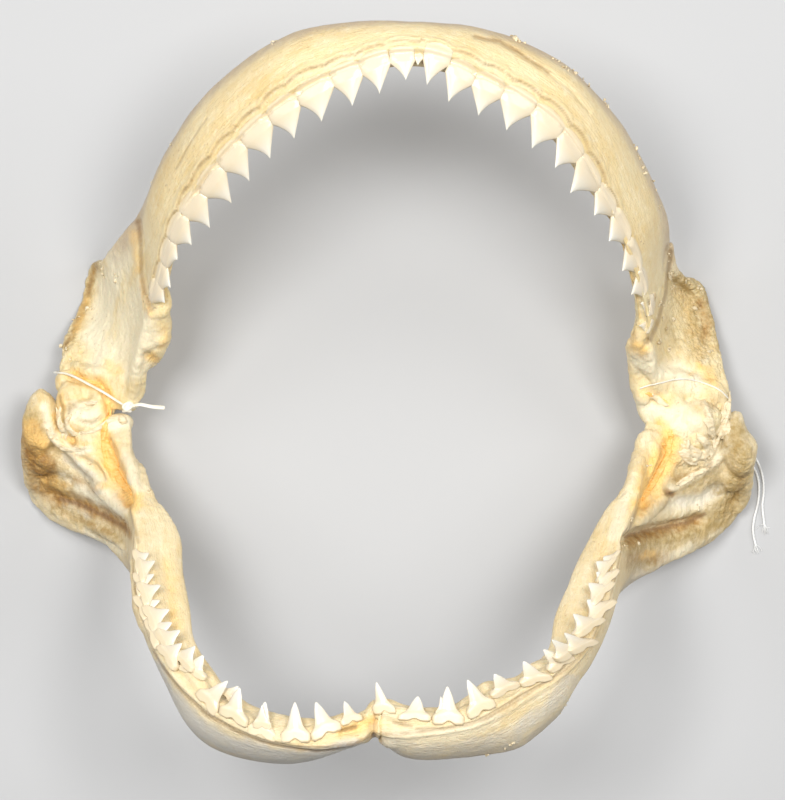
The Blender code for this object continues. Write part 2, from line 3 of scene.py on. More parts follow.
import bpy
import numpy as np
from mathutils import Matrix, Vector
from mathutils.bvhtree import BVHTree


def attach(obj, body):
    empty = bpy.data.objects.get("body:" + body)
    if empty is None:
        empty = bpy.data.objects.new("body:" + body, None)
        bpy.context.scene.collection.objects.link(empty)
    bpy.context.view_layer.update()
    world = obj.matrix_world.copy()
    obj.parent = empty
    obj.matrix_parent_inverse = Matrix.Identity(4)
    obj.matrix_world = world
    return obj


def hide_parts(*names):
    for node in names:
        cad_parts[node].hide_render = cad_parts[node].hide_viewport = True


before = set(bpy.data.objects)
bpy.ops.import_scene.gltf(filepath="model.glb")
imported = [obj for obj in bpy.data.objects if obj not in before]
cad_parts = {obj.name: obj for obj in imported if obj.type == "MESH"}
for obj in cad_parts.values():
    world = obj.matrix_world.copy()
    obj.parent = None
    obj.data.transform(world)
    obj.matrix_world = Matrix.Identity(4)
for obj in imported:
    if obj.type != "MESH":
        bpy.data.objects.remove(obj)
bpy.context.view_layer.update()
scene = bpy.context.scene
mm = 0.001


# The camera looks straight down on the jaw, as the photograph was taken.
cameraSetup = {"place": (0.0010, -0.0028, 1.246), "focalMm": 130.5}


def addCamera():
    data = bpy.data.cameras.new("camera")
    data.lens = cameraSetup["focalMm"]
    data.clip_start = 0.05
    camera = bpy.data.objects.new("camera", data)
    camera.location = cameraSetup["place"]
    scene.collection.objects.link(camera)
    scene.camera = camera


addCamera()


def profile(keys, at):
    # smooth value between keys: a cubic that never overshoots them
    xs, ys = np.array(keys, float).T
    at = np.clip(at, xs[0], xs[-1])
    slopes = np.diff(ys) / np.diff(xs)
    tangents = np.zeros(len(xs))
    before, after = slopes[:-1], slopes[1:]
    sameWay = before * after > 0
    total = np.where(sameWay, before + after, 1.0)
    tangents[1:-1] = np.where(sameWay, 2 * before * after / total, 0.0)
    i = np.clip(np.searchsorted(xs, at, side="right") - 1, 0, len(slopes) - 1)
    step = xs[i + 1] - xs[i]
    u = (at - xs[i]) / step
    bend = step * (u * (1 - u) ** 2 * tangents[i] - u * u * (1 - u) * tangents[i + 1])
    return ys[i] + (ys[i + 1] - ys[i]) * u * u * (3 - 2 * u) + bend


def softStep(value):
    value = np.clip(value, 0.0, 1.0)
    return value * value * (3 - 2 * value)


def unit(vectors):
    vectors = np.asarray(vectors, float)
    return vectors / np.maximum(np.linalg.norm(vectors, axis=-1, keepdims=True), 1e-12)


# large odd numbers that scatter the cells of the noise
scatter = {"cell": (374761393, 668265263, 2246822519), "seed": 974634777, "mix": 1274126177}


def cellValue(cells, seed):
    # one steady value from 0 to 1 for each whole-number cell
    mixed = np.uint32((seed * scatter["seed"]) % 2 ** 32)
    for axis, factor in enumerate(scatter["cell"]):
        mixed = mixed + cells[..., axis].astype(np.int64).astype(np.uint32) * np.uint32(factor)
    mixed = (mixed ^ (mixed >> np.uint32(13))) * np.uint32(scatter["mix"])
    mixed = mixed ^ (mixed >> np.uint32(16))
    return (mixed & np.uint32(2 ** 24 - 1)) / (2.0 ** 24 - 1)


def softNoise(points, size, seed):
    # smooth noise from -1 to 1 whose lumps are about the given size
    scaled = np.asarray(points) / size
    cell = np.floor(scaled)
    u = scaled - cell
    u = u * u * (3 - 2 * u)
    value = np.zeros(scaled.shape[:-1])
    for corner in range(8):
        step = np.array([corner & 1, corner >> 1 & 1, corner >> 2 & 1])
        weight = np.prod(np.where(step, u, 1 - u), axis=-1)
        value += weight * cellValue(cell + step, seed)
    return value * 2 - 1


def layeredNoise(points, size, seed, layers=3):
    total = np.zeros(np.asarray(points).shape[:-1])
    for layer in range(layers):
        total += softNoise(points, size / 2 ** layer, seed + layer) / 2 ** layer
    return total / (2 - 0.5 ** (layers - 1))


def curveThrough(points, before=None, after=None, samples=60):
    # Catmull-Rom curve through the points
    points = [np.array(p, float) for p in points]
    before = 2 * points[0] - points[1] if before is None else np.array(before, float)
    after = 2 * points[-1] - points[-2] if after is None else np.array(after, float)
    guides = [before, *points, after]
    dense = []
    for p0, p1, p2, p3 in zip(guides, guides[1:], guides[2:], guides[3:]):
        u = np.linspace(0, 1, samples, endpoint=False)[:, None]
        dense.append(0.5 * (2 * p1 + (p2 - p0) * u + (2 * p0 - 5 * p1 + 4 * p2 - p3) * u * u
                            + (3 * p1 - p0 - 3 * p2 + p3) * u ** 3))
    return np.vstack([*dense, guides[-2][None]])


def evenly(points, count):
    points = np.asarray(points, float)
    along = np.concatenate(([0.0], np.cumsum(np.linalg.norm(np.diff(points, axis=0), axis=1))))
    wanted = np.linspace(0, along[-1], count)
    return np.stack([np.interp(wanted, along, points[:, k]) for k in range(points.shape[1])], 1)


def nearLine(points, line):
    # distance of each point from a line of straight stretches, in as many axes as the line has
    line = np.asarray(line, float)
    points = points[:, :line.shape[1]]
    best = np.full(len(points), 1e9)
    for start, end in zip(line, line[1:]):
        run = end - start
        u = np.clip(((points - start) @ run) / max(run @ run, 1e-12), 0, 1)
        best = np.minimum(best, np.linalg.norm(points - start - u[:, None] * run, axis=1))
    return best


def meshFrom(name, parts):
    # parts are (vertices, faces) pairs, joined into one mesh
    vertices, faces, offset = [], [], 0
    for partVertices, partFaces in parts:
        vertices.append(np.asarray(partVertices, float))
        faces.extend((np.asarray(face) + offset).tolist() for face in partFaces)
        offset += len(partVertices)
    mesh = bpy.data.meshes.new(name)
    mesh.from_pydata(np.vstack(vertices).tolist(), [], faces)
    mesh.validate()
    return mesh


def gridFaces(rows, columns):
    # faces between rows of points, each row closed on itself
    faces = []
    for first in range(0, (rows - 1) * columns, columns):
        second = first + columns
        for column in range(columns):
            after = (column + 1) % columns
            faces.append((first + column, first + after, second + after, second + column))
    return faces


def closedFaces(rows, columns):
    # the same with a lid on the first and the last row
    last = (rows - 1) * columns
    return gridFaces(rows, columns) + [tuple(range(columns))[::-1], tuple(range(last, last + columns))]


def tubeParts(points, radii, sides=10, flatten=1.0):
    # round tube with domed ends; flatten below one squashes it along its second axis
    points = np.asarray(points, float)
    radii = np.broadcast_to(np.asarray(radii, float), (len(points),)).copy()
    ahead = unit(np.gradient(points, axis=0))
    across = np.cross(ahead[0], (0.3, 0.5, 0.81))
    frames = []
    for direction in ahead:
        across = unit(across - direction * (across @ direction))
        frames.append((across, np.cross(direction, across)))
    angles = np.linspace(0, math.tau, sides, endpoint=False)

    def ring(centre, radius, sideways):
        return centre + radius * (np.outer(np.cos(angles), sideways[0])
                                  + flatten * np.outer(np.sin(angles), sideways[1]))

    def domeRing(end, width, way):
        reach = way * ahead[end] * radii[end] * (1 - width) * 0.9
        return ring(points[end] + reach, radii[end] * width ** 0.6, frames[end])

    rings = [domeRing(0, width, -1) for width in (0.35, 0.8)]
    rings += [ring(*place) for place in zip(points, radii, frames)]
    rings += [domeRing(-1, width, 1) for width in (0.8, 0.35)]
    return np.vstack(rings), closedFaces(len(rings), sides)


def blobParts(centre, radii, rows=16, columns=24):
    pole = 0.06  # how far from its poles the first and last rings lie
    polar = np.linspace(pole, math.pi - pole, rows)[:, None]
    turn = np.linspace(0, math.tau, columns, endpoint=False)[None, :]
    shape = np.stack([np.sin(polar) * np.cos(turn), np.sin(polar) * np.sin(turn),
                      np.cos(polar) * np.ones_like(turn)], -1)
    vertices = (shape * np.array(radii) + np.array(centre)).reshape(-1, 3)
    return vertices, closedFaces(rows, columns)


def addPiece(name, mesh, material, replaces=()):
    piece = bpy.data.objects.new(name, mesh)
    scene.collection.objects.link(piece)
    mesh.materials.clear()
    mesh.materials.append(material)
    mesh.shade_smooth()
    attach(piece, "root")
    if replaces:
        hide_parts(*replaces)
    return piece


def skinOver(name, mesh, voxel, smoothing):
    # one skin over all the closed shapes in the mesh, rounded off a little
    shell = bpy.data.objects.new(name, mesh)
    scene.collection.objects.link(shell)
    remesh = shell.modifiers.new("skin", "REMESH")
    remesh.mode = "VOXEL"
    remesh.voxel_size = voxel
    soften = shell.modifiers.new("soften", "SMOOTH")
    soften.iterations = smoothing
    soften.factor = 0.5
    bpy.context.view_layer.update()
    evaluated = shell.evaluated_get(bpy.context.evaluated_depsgraph_get())
    skin = bpy.data.meshes.new_from_object(evaluated)
    bpy.data.objects.remove(shell)
    skin.name = name
    return skin


def meshPoints(mesh):
    points = np.zeros(len(mesh.vertices) * 3)
    normals = np.zeros(len(mesh.vertices) * 3)
    mesh.vertices.foreach_get("co", points)
    mesh.vertices.foreach_get("normal", normals)
    return points.reshape(-1, 3), normals.reshape(-1, 3)


def setPoints(mesh, points):
    mesh.vertices.foreach_set("co", np.asarray(points, np.float32).ravel())
    mesh.update()


def setMask(mesh, name, values):
    attribute = mesh.attributes.get(name) or mesh.attributes.new(name, "FLOAT", "POINT")
    attribute.data.foreach_set("value", np.clip(values, 0, 1).astype(np.float32))


def setVectors(mesh, name, values):
    attribute = mesh.attributes.get(name) or mesh.attributes.new(name, "FLOAT_VECTOR", "POINT")
    attribute.data.foreach_set("vector", np.asarray(values, np.float32).ravel())


class NodeBench:
    def __init__(self, tree):
        self.tree = tree

    def add(self, kind, inputs=None, **settings):
        node = self.tree.nodes.new(kind)
        for key, value in settings.items():
            setattr(node, key, value)
        for key, value in (inputs or {}).items():
            self.put(node.inputs[key], value)
        return node

    def put(self, socket, value):
        if isinstance(value, bpy.types.NodeSocket):
            self.tree.links.new(value, socket)
        else:
            socket.default_value = value

    def mask(self, name):
        return self.add("ShaderNodeAttribute", attribute_name=name).outputs["Fac"]

    def noise(self, place, scale, detail, roughness=0.5, distortion=0.0):
        node = self.add("ShaderNodeTexNoise", {"Vector": place, "Scale": scale, "Detail": detail,
                                               "Roughness": roughness, "Distortion": distortion})
        return node.outputs[0]

    def cells(self, place, scale):
        return self.add("ShaderNodeTexVoronoi", {"Vector": place, "Scale": scale}).outputs["Distance"]

    def mixColour(self, factor, first, second):
        node = self.add("ShaderNodeMix", {0: factor, 6: first, 7: second}, data_type="RGBA")
        return node.outputs[2]

    def math(self, operation, first, second=0.0):
        return self.add("ShaderNodeMath", {0: first, 1: second}, operation=operation).outputs[0]

    def remap(self, value, low, high, newLow=0.0, newHigh=1.0):
        node = self.add("ShaderNodeMapRange", {0: value, 1: low, 2: high, 3: newLow, 4: newHigh})
        return node.outputs[0]


def newGroup(name, inputs, output):
    # a node group whose one output is (name, kind) and whose inputs are (name, kind, value)
    group = bpy.data.node_groups.new(name, "ShaderNodeTree")
    for socketName, kind, value in inputs:
        socket = group.interface.new_socket(socketName, in_out="INPUT", socket_type=kind)
        if value is not None:
            socket.default_value = value
    group.interface.new_socket(output[0], in_out="OUTPUT", socket_type=output[1])
    bench = NodeBench(group)
    return group, bench, bench.add("NodeGroupInput").outputs, bench.add("NodeGroupOutput").inputs[output[0]]


def buildFibreGroup():
    # long soft streaks, as in dried cartilage and ligament
    group, bench, given, result = newGroup(
        "driedFibre",
        [("Vector", "NodeSocketVector", None), ("Along", "NodeSocketFloat", 60.0),
         ("Across", "NodeSocketFloat", 500.0)],
        ("Value", "NodeSocketFloat"))
    stretch = bench.add("ShaderNodeCombineXYZ", {0: given["Along"], 1: given["Across"], 2: given["Across"]})
    scaled = bench.add("ShaderNodeVectorMath", {0: given["Vector"], 1: stretch.outputs[0]},
                       operation="MULTIPLY")
    bench.put(result, bench.remap(bench.noise(scaled.outputs[0], 1.0, 4.0, 0.6, 0.4), 0.3, 0.72))
    return group


def buildStainAndShadeGroup():
    # a stain, and also painted shade laid the same way, that breaks up at its edges and lies in spots and
    # streaks
    group, bench, given, result = newGroup(
        "stain",
        [("Base", "NodeSocketColor", (1, 1, 1, 1)), ("Stain", "NodeSocketColor", (1, 1, 1, 1)),
         ("Mask", "NodeSocketFloat", 0.0), ("Vector", "NodeSocketVector", None),
         ("Spots", "NodeSocketFloat", 300.0), ("Breakup", "NodeSocketFloat", 0.6)],
        ("Color", "NodeSocketColor"))
    broken = bench.math("SUBTRACT", bench.noise(given["Vector"], given["Spots"], 5.0, 0.65), 0.5)
    broken = bench.math("MULTIPLY", broken, given["Breakup"])
    raised = bench.math("ADD", given["Mask"], bench.math("MULTIPLY", broken, 3.0))
    held = bench.math("MULTIPLY", raised, bench.remap(given["Mask"], 0.02, 0.35))
    amount = bench.add("ShaderNodeClamp", {0: held}).outputs[0]
    bench.put(result, bench.mixColour(amount, given["Base"], given["Stain"]))
    return group


def buildReliefGroup():
    # height of soft dimples, tiny pores and, where it is rough, crusty crumbs
    group, bench, given, result = newGroup(
        "driedRelief",
        [("Vector", "NodeSocketVector", None), ("Pores", "NodeSocketFloat", 2200.0),
         ("Rough", "NodeSocketFloat", 0.0)],
        ("Height", "NodeSocketFloat"))
    dimples = bench.noise(given["Vector"], 420.0, 4.0, 0.6)
    pit = bench.remap(bench.cells(given["Vector"], given["Pores"]), 0.0, 0.22)
    crumb = bench.math("MULTIPLY", bench.cells(given["Vector"], 700.0), given["Rough"])
    height = bench.math("ADD", dimples, bench.math("MULTIPLY", pit, 0.10))
    bench.put(result, bench.math("ADD", height, bench.math("MULTIPLY", crumb, 1.6)))
    return group


fibreGroup = buildFibreGroup()
stainAndShadeGroup = buildStainAndShadeGroup()
reliefGroup = buildReliefGroup()


def useGroup(bench, group, inputs):
    return bench.add("ShaderNodeGroup", inputs, node_tree=group).outputs[0]


def fibre(bench, place, scales):
    return useGroup(bench, fibreGroup, {"Vector": place, "Along": scales[0], "Across": scales[1]})


def stainAndShadePatch(bench, place, colour, stain, mask, spread):
    # lays a stain or painted shade over the colour; spread is how fine the spots are and how far the edge
    # breaks up
    return useGroup(bench, stainAndShadeGroup, {"Base": colour, "Stain": stain, "Mask": mask, "Vector": place,
                                        "Spots": spread[0], "Breakup": spread[1]})


def relief(bench, place, rough, pores=2200.0):
    return useGroup(bench, reliefGroup, {"Vector": place, "Rough": rough, "Pores": pores})


def startMaterial(name):
    material = bpy.data.materials.new(name)
    material.use_nodes = True
    bench = NodeBench(material.node_tree)
    return material, bench, material.node_tree.nodes["Principled BSDF"]


def placeIn(bench):
    return bench.add("ShaderNodeTexCoord").outputs["Object"]


def setSurface(bench, shader, colour, roughness, height, bump, inner=None):
    # bump is its strength and distance, inner how much light goes into the surface and how far
    bench.put(shader.inputs["Base Color"], colour)
    bench.put(shader.inputs["Roughness"], roughness)
    node = bench.add("ShaderNodeBump", {"Height": height, "Strength": bump[0], "Distance": bump[1]})
    bench.put(shader.inputs["Normal"], node.outputs[0])
    if inner:
        shader.inputs["Subsurface Weight"].default_value = inner[0]
        shader.inputs["Subsurface Radius"].default_value = inner[1]
        shader.inputs["Subsurface Scale"].default_value = 1.0


cartilageFinish = {
    # The darker edge colour of each jaw is painted shade where a face turns away from the light; the pale
    # colour is a lighter tone that also serves as painted highlight.
    "upper": {"cream": (0.79, 0.64, 0.35, 1), "butter": (0.74, 0.54, 0.23, 1),
              "paleAndHighlight": (0.88, 0.79, 0.57, 1), "edgeShade": (0.50, 0.39, 0.27, 1), "roughness": 0.42},
    "lower": {"cream": (0.76, 0.62, 0.37, 1), "butter": (0.70, 0.52, 0.24, 1),
              "paleAndHighlight": (0.86, 0.78, 0.58, 1), "edgeShade": (0.50, 0.43, 0.33, 1), "roughness": 0.44},
    # The crease colour is painted shade in creases, valleys and along the gum line; the dark brown is a real
    # stain and also painted shade in the deep valleys.
    "amber": (0.94, 0.62, 0.21, 1), "resin": (0.72, 0.31, 0.045, 1), "brownStainAndShade": (0.22, 0.10, 0.022, 1),
    "ochre": (0.48, 0.26, 0.055, 1), "fleck": (0.42, 0.27, 0.13, 1), "olive": (0.42, 0.29, 0.105, 1),
    "grey": (0.60, 0.56, 0.48, 1), "creaseShade": (0.22, 0.12, 0.05, 1),
    # the stains and the painted shades lie over each other in this order, each with its spots and the breakup
    # of its edge
    "stainsAndShades": {"edgeShade": (160.0, 0.35), "grey": (110.0, 0.35), "olive": (420.0, 0.6), "brownStainAndShade": (210.0, 0.45),
               "amber": (170.0, 0.4)},
    "clouds": 38.0, "mottles": 330.0, "flecks": 620.0, "streaks": (70.0, 420.0), "fibres": (260.0, 1500.0),
    "bump": (0.75, 0.6 * mm), "inner": (0.10, (0.002, 0.0012, 0.0007)),
}


def makeCartilage(name, look):
    material, bench, shader = startMaterial(name)
    finish, place = cartilageFinish, placeIn(bench)
    grain = bench.add("ShaderNodeAttribute", attribute_name="grain").outputs["Vector"]
    rough = bench.mask("rough")
    cloud = bench.noise(place, finish["clouds"], 3.0)
    streak = fibre(bench, grain, finish["streaks"])
    fine = fibre(bench, grain, finish["fibres"])
    colour = bench.mixColour(bench.remap(cloud, 0.35, 0.68), look["cream"], look["butter"])
    colour = bench.mixColour(bench.math("MULTIPLY", streak, 0.45), colour, look["paleAndHighlight"])
    mottle = bench.noise(place, finish["mottles"], 4.0, 0.6)
    colour = bench.mixColour(bench.remap(mottle, 0.52, 0.72, 0.0, 0.5), colour, look["butter"])
    colour = bench.mixColour(bench.remap(mottle, 0.42, 0.28, 0.0, 0.5), colour, look["paleAndHighlight"])
    # lighter patches and painted highlight on ridges and plates
    colour = bench.mixColour(bench.mask("paleAndHighlight"), colour, look["paleAndHighlight"])
    # the brown stain here also stands for painted shade in the deep valleys
    tan = bench.mixColour(streak, finish["brownStainAndShade"], finish["ochre"])
    resin = bench.mixColour(bench.remap(fine, 0.4, 0.95, 0.0, 0.6), finish["amber"], finish["resin"])
    stainsAndShades = {"edgeShade": look["edgeShade"], "grey": finish["grey"], "olive": finish["olive"], "brownStainAndShade": tan,
              "amber": resin}
    for stain, spread in finish["stainsAndShades"].items():
        colour = stainAndShadePatch(bench, place, colour, stainsAndShades[stain], bench.mask(stain), spread)
    # painted shade in creases, valleys and along the gum line
    colour = bench.mixColour(bench.mask("creaseShade"), colour, finish["creaseShade"])
    fleck = bench.remap(bench.noise(place, finish["flecks"], 5.0, 0.7), 0.60, 0.70)
    fleck = bench.math("MULTIPLY", fleck, bench.remap(cloud, 0.4, 0.6, 0.15, 0.75))
    colour = bench.mixColour(fleck, colour, finish["fleck"])
    gloss = bench.remap(streak, 0.0, 1.0, look["roughness"] - 0.08, look["roughness"] + 0.10)
    gloss = bench.math("ADD", gloss, bench.math("MULTIPLY", rough, 0.25))
    height = bench.math("ADD", relief(bench, place, rough), bench.math("MULTIPLY", fine, 0.5))
    setSurface(bench, shader, colour, gloss, height, finish["bump"], finish["inner"])
    return material


toothFinish = {
    "enamel": (0.73, 0.70, 0.61, 1), "blush": (0.74, 0.62, 0.43, 1), "root": (0.76, 0.61, 0.36, 1),
    "stain": (0.62, 0.44, 0.21, 1), "roughness": 0.24, "rootRoughness": 0.55,
    "streaks": 260.0, "grooves": 900.0, "pores": 3200.0, "rootSpread": (500.0, 0.25),
    "socketSpread": (700.0, 0.6), "bump": (0.35, 0.3 * mm), "inner": (0.10, (0.002, 0.0015, 0.001)),
}


def makeTooth():
    material, bench, shader = startMaterial("toothEnamel")
    finish, place = toothFinish, placeIn(bench)
    root = bench.mask("root")
    low = bench.remap(bench.mask("low"), 0.15, 0.9, 0.0, 0.85)
    colour = bench.mixColour(low, finish["enamel"], finish["blush"])
    streaks = bench.remap(bench.noise(place, finish["streaks"], 4.0), 0.45, 0.75, 0.0, 0.35)
    colour = bench.mixColour(streaks, colour, finish["blush"])
    colour = stainAndShadePatch(bench, place, colour, finish["root"], root, finish["rootSpread"])
    colour = stainAndShadePatch(bench, place, colour, finish["stain"], bench.mask("socket"), finish["socketSpread"])
    gloss = bench.remap(root, 0.0, 1.0, finish["roughness"], finish["rootRoughness"])
    grooves = bench.math("MULTIPLY", bench.noise(place, finish["grooves"], 3.0), 0.35)
    pits = bench.math("MULTIPLY", relief(bench, place, 0.0, finish["pores"]), root)
    setSurface(bench, shader, colour, gloss, bench.math("ADD", grooves, pits), finish["bump"],
               finish["inner"])
    return material


ligamentFinish = {
    "amber": (0.85, 0.43, 0.08, 1), "honey": (0.93, 0.64, 0.25, 1), "white": (0.76, 0.65, 0.44, 1),
    "tan": (0.55, 0.37, 0.16, 1), "roughness": (0.38, 0.62), "strands": (220.0, 900.0), "rough": 0.4,
    "bump": (0.6, 0.4 * mm),
}


def makeLigament(name, white):
    material, bench, shader = startMaterial(name)
    finish, place = ligamentFinish, placeIn(bench)
    strand = fibre(bench, place, finish["strands"])
    if white:
        colour = bench.mixColour(bench.remap(strand, 0.45, 1.0, 0.0, 0.8), finish["white"], finish["tan"])
    else:
        colour = bench.mixColour(strand, finish["amber"], finish["honey"])
    gloss = bench.remap(strand, 0.0, 1.0, *finish["roughness"])
    height = bench.math("ADD", relief(bench, place, finish["rough"]), strand)
    setSurface(bench, shader, colour, gloss, height, finish["bump"])
    return material


lineFinish = {
    "nylon": (0.82, 0.80, 0.72, 1), "yellowed": (0.78, 0.70, 0.52, 1), "haze": 220.0, "scratches": 1800.0,
    "nylonRoughness": (0.16, 0.34), "nylonBump": (0.2, 0.2 * mm), "inner": (0.3, (0.002, 0.002, 0.0016)),
    "cotton": (0.88, 0.88, 0.86, 1), "grime": (0.62, 0.60, 0.56, 1), "fluff": 3500.0, "grimeScale": 160.0,
    "cottonRoughness": (0.82, 0.98), "cottonBump": (0.5, 0.2 * mm),
}


def makeNylon():
    material, bench, shader = startMaterial("nylonLine")
    finish, place = lineFinish, placeIn(bench)
    haze = bench.noise(place, finish["haze"], 3.0)
    colour = bench.mixColour(bench.remap(haze, 0.4, 0.7), finish["nylon"], finish["yellowed"])
    gloss = bench.remap(haze, 0.3, 0.7, *finish["nylonRoughness"])
    scratch = bench.noise(place, finish["scratches"], 2.0)
    setSurface(bench, shader, colour, gloss, scratch, finish["nylonBump"], finish["inner"])
    return material


def makeCotton():
    material, bench, shader = startMaterial("cottonString")
    finish, place = lineFinish, placeIn(bench)
    fluff = bench.noise(place, finish["fluff"], 3.0)
    grime = bench.remap(bench.noise(place, finish["grimeScale"], 2.0), 0.45, 0.75, 0.0, 0.6)
    colour = bench.mixColour(grime, finish["cotton"], finish["grime"])
    gloss = bench.remap(fluff, 0.3, 0.7, *finish["cottonRoughness"])
    setSurface(bench, shader, colour, gloss, fluff, finish["cottonBump"])
    return material


cartilageMaterial = {
    jaw: makeCartilage(f"cartilage_{jaw}", cartilageFinish[jaw]) for jaw in ("upper", "lower")}
toothMaterial = makeTooth()
amberMaterial = makeLigament("amberLigament", False)
tissueMaterial = makeLigament("whiteTissue", True)
nylonMaterial = makeNylon()
cottonMaterial = makeCotton()
print("materials made")


# A string is knotted beneath the right joint. Its two ends come out from under it onto the surface.
stringSetup = {
    "shift": (0.0010, -0.0028, 0.0), "radius": 0.0005, "plies": 3, "pitch": 0.0042,
    "plyReach": 0.47, "plyRadius": 0.52, "fibres": 11, "fibreRadius": 0.09 * mm, "knotLine": 0.6 * mm,
    "knotCentre": (0.1435, -0.0147, 0.0028), "knotRadii": (0.0028, 0.0024, 0.0024),
    "string_end_long": (
        (0.1427, -0.0177, 0.0024), (0.1452, -0.0215, 0.0012), (0.1502, -0.0248, 0.0010),
        (0.1550, -0.0290, 0.0010), (0.1572, -0.0352, 0.0010), (0.1571, -0.0430, 0.0010),
        (0.1552, -0.0515, 0.0010), (0.1548, -0.0567, 0.0010), (0.1560, -0.0627, 0.0010),
    ),
    "string_end_short": (
        (0.1458, -0.0170, 0.0024), (0.1500, -0.0200, 0.0012), (0.1548, -0.0236, 0.0010),
        (0.1576, -0.0285, 0.0010), (0.1592, -0.0345, 0.0010), (0.1593, -0.0405, 0.0010),
        (0.1588, -0.0448, 0.0010), (0.1591, -0.0490, 0.0010), (0.1597, -0.0541, 0.0010),
    ),
}


def pliedParts(route):
    # thin plies wound round the route
    plies, radius = stringSetup["plies"], stringSetup["radius"]
    fine = evenly(route, max(40, int(len(route) * 5)))
    ahead = unit(np.gradient(fine, axis=0))
    side = unit(np.cross(ahead, (0, 0, 1)))
    top = np.cross(side, ahead)
    along = np.concatenate(([0.0], np.cumsum(np.linalg.norm(np.diff(fine, axis=0), axis=1))))
    parts = []
    for ply in range(plies):
        turn = math.tau * (along / stringSetup["pitch"] + ply / plies)
        reach = radius * stringSetup["plyReach"]
        line = fine + reach * (np.cos(turn)[:, None] * side + np.sin(turn)[:, None] * top)
        parts.append(tubeParts(line, radius * stringSetup["plyRadius"], sides=8))
    return parts


def frayParts(end, direction, seed):
    # loose fibres at the cut end
    rng = np.random.default_rng(seed)
    parts = []
    for _ in range(stringSetup["fibres"]):
        spread = unit(direction + rng.normal(0, 0.45, 3) * (1, 1, 0.15))
        reach = rng.uniform(0.0015, 0.0042)
        bend = rng.normal(0, 0.0006, 3) * (1, 1, 0.2)
        line = np.array([end - direction * 0.0008, end + spread * reach * 0.5 + bend, end + spread * reach])
        line[:, 2] = np.maximum(line[:, 2], 0.0004)
        parts.append(tubeParts(curveThrough(line, samples=4), stringSetup["fibreRadius"], sides=5))
    return parts


def addString():
    shift = np.array(stringSetup["shift"])
    centre, radii = np.array(stringSetup["knotCentre"]) + shift, np.array(stringSetup["knotRadii"])
    turns = np.linspace(0, math.tau * 2, 60)
    knotLine = np.stack([np.sin(turns * 1.5) * 0.62, np.cos(turns) * 0.66, np.sin(turns + 0.8) * 0.62], 1)
    knotParts = [blobParts(centre, radii * 0.62),
                 tubeParts(centre + knotLine * radii, stringSetup["knotLine"], sides=8)]
    knot = addPiece("string_knot", meshFrom("string_knot", knotParts), cottonMaterial,
                    ["string_knot_right"])
    for seed, name in enumerate(("string_end_long", "string_end_short")):
        points = np.array(stringSetup[name]) + shift
        route = evenly(curveThrough(points), 90)
        cord = addPiece(f"cotton_{name}", meshFrom(name, pliedParts(route)), cottonMaterial, [name])
        direction = unit(route[-1] - route[-3])
        fray = addPiece(f"fray_{name}", meshFrom(name, frayParts(route[-1], direction, 5 + seed)),
                        cottonMaterial)


addString()
print("string laid")


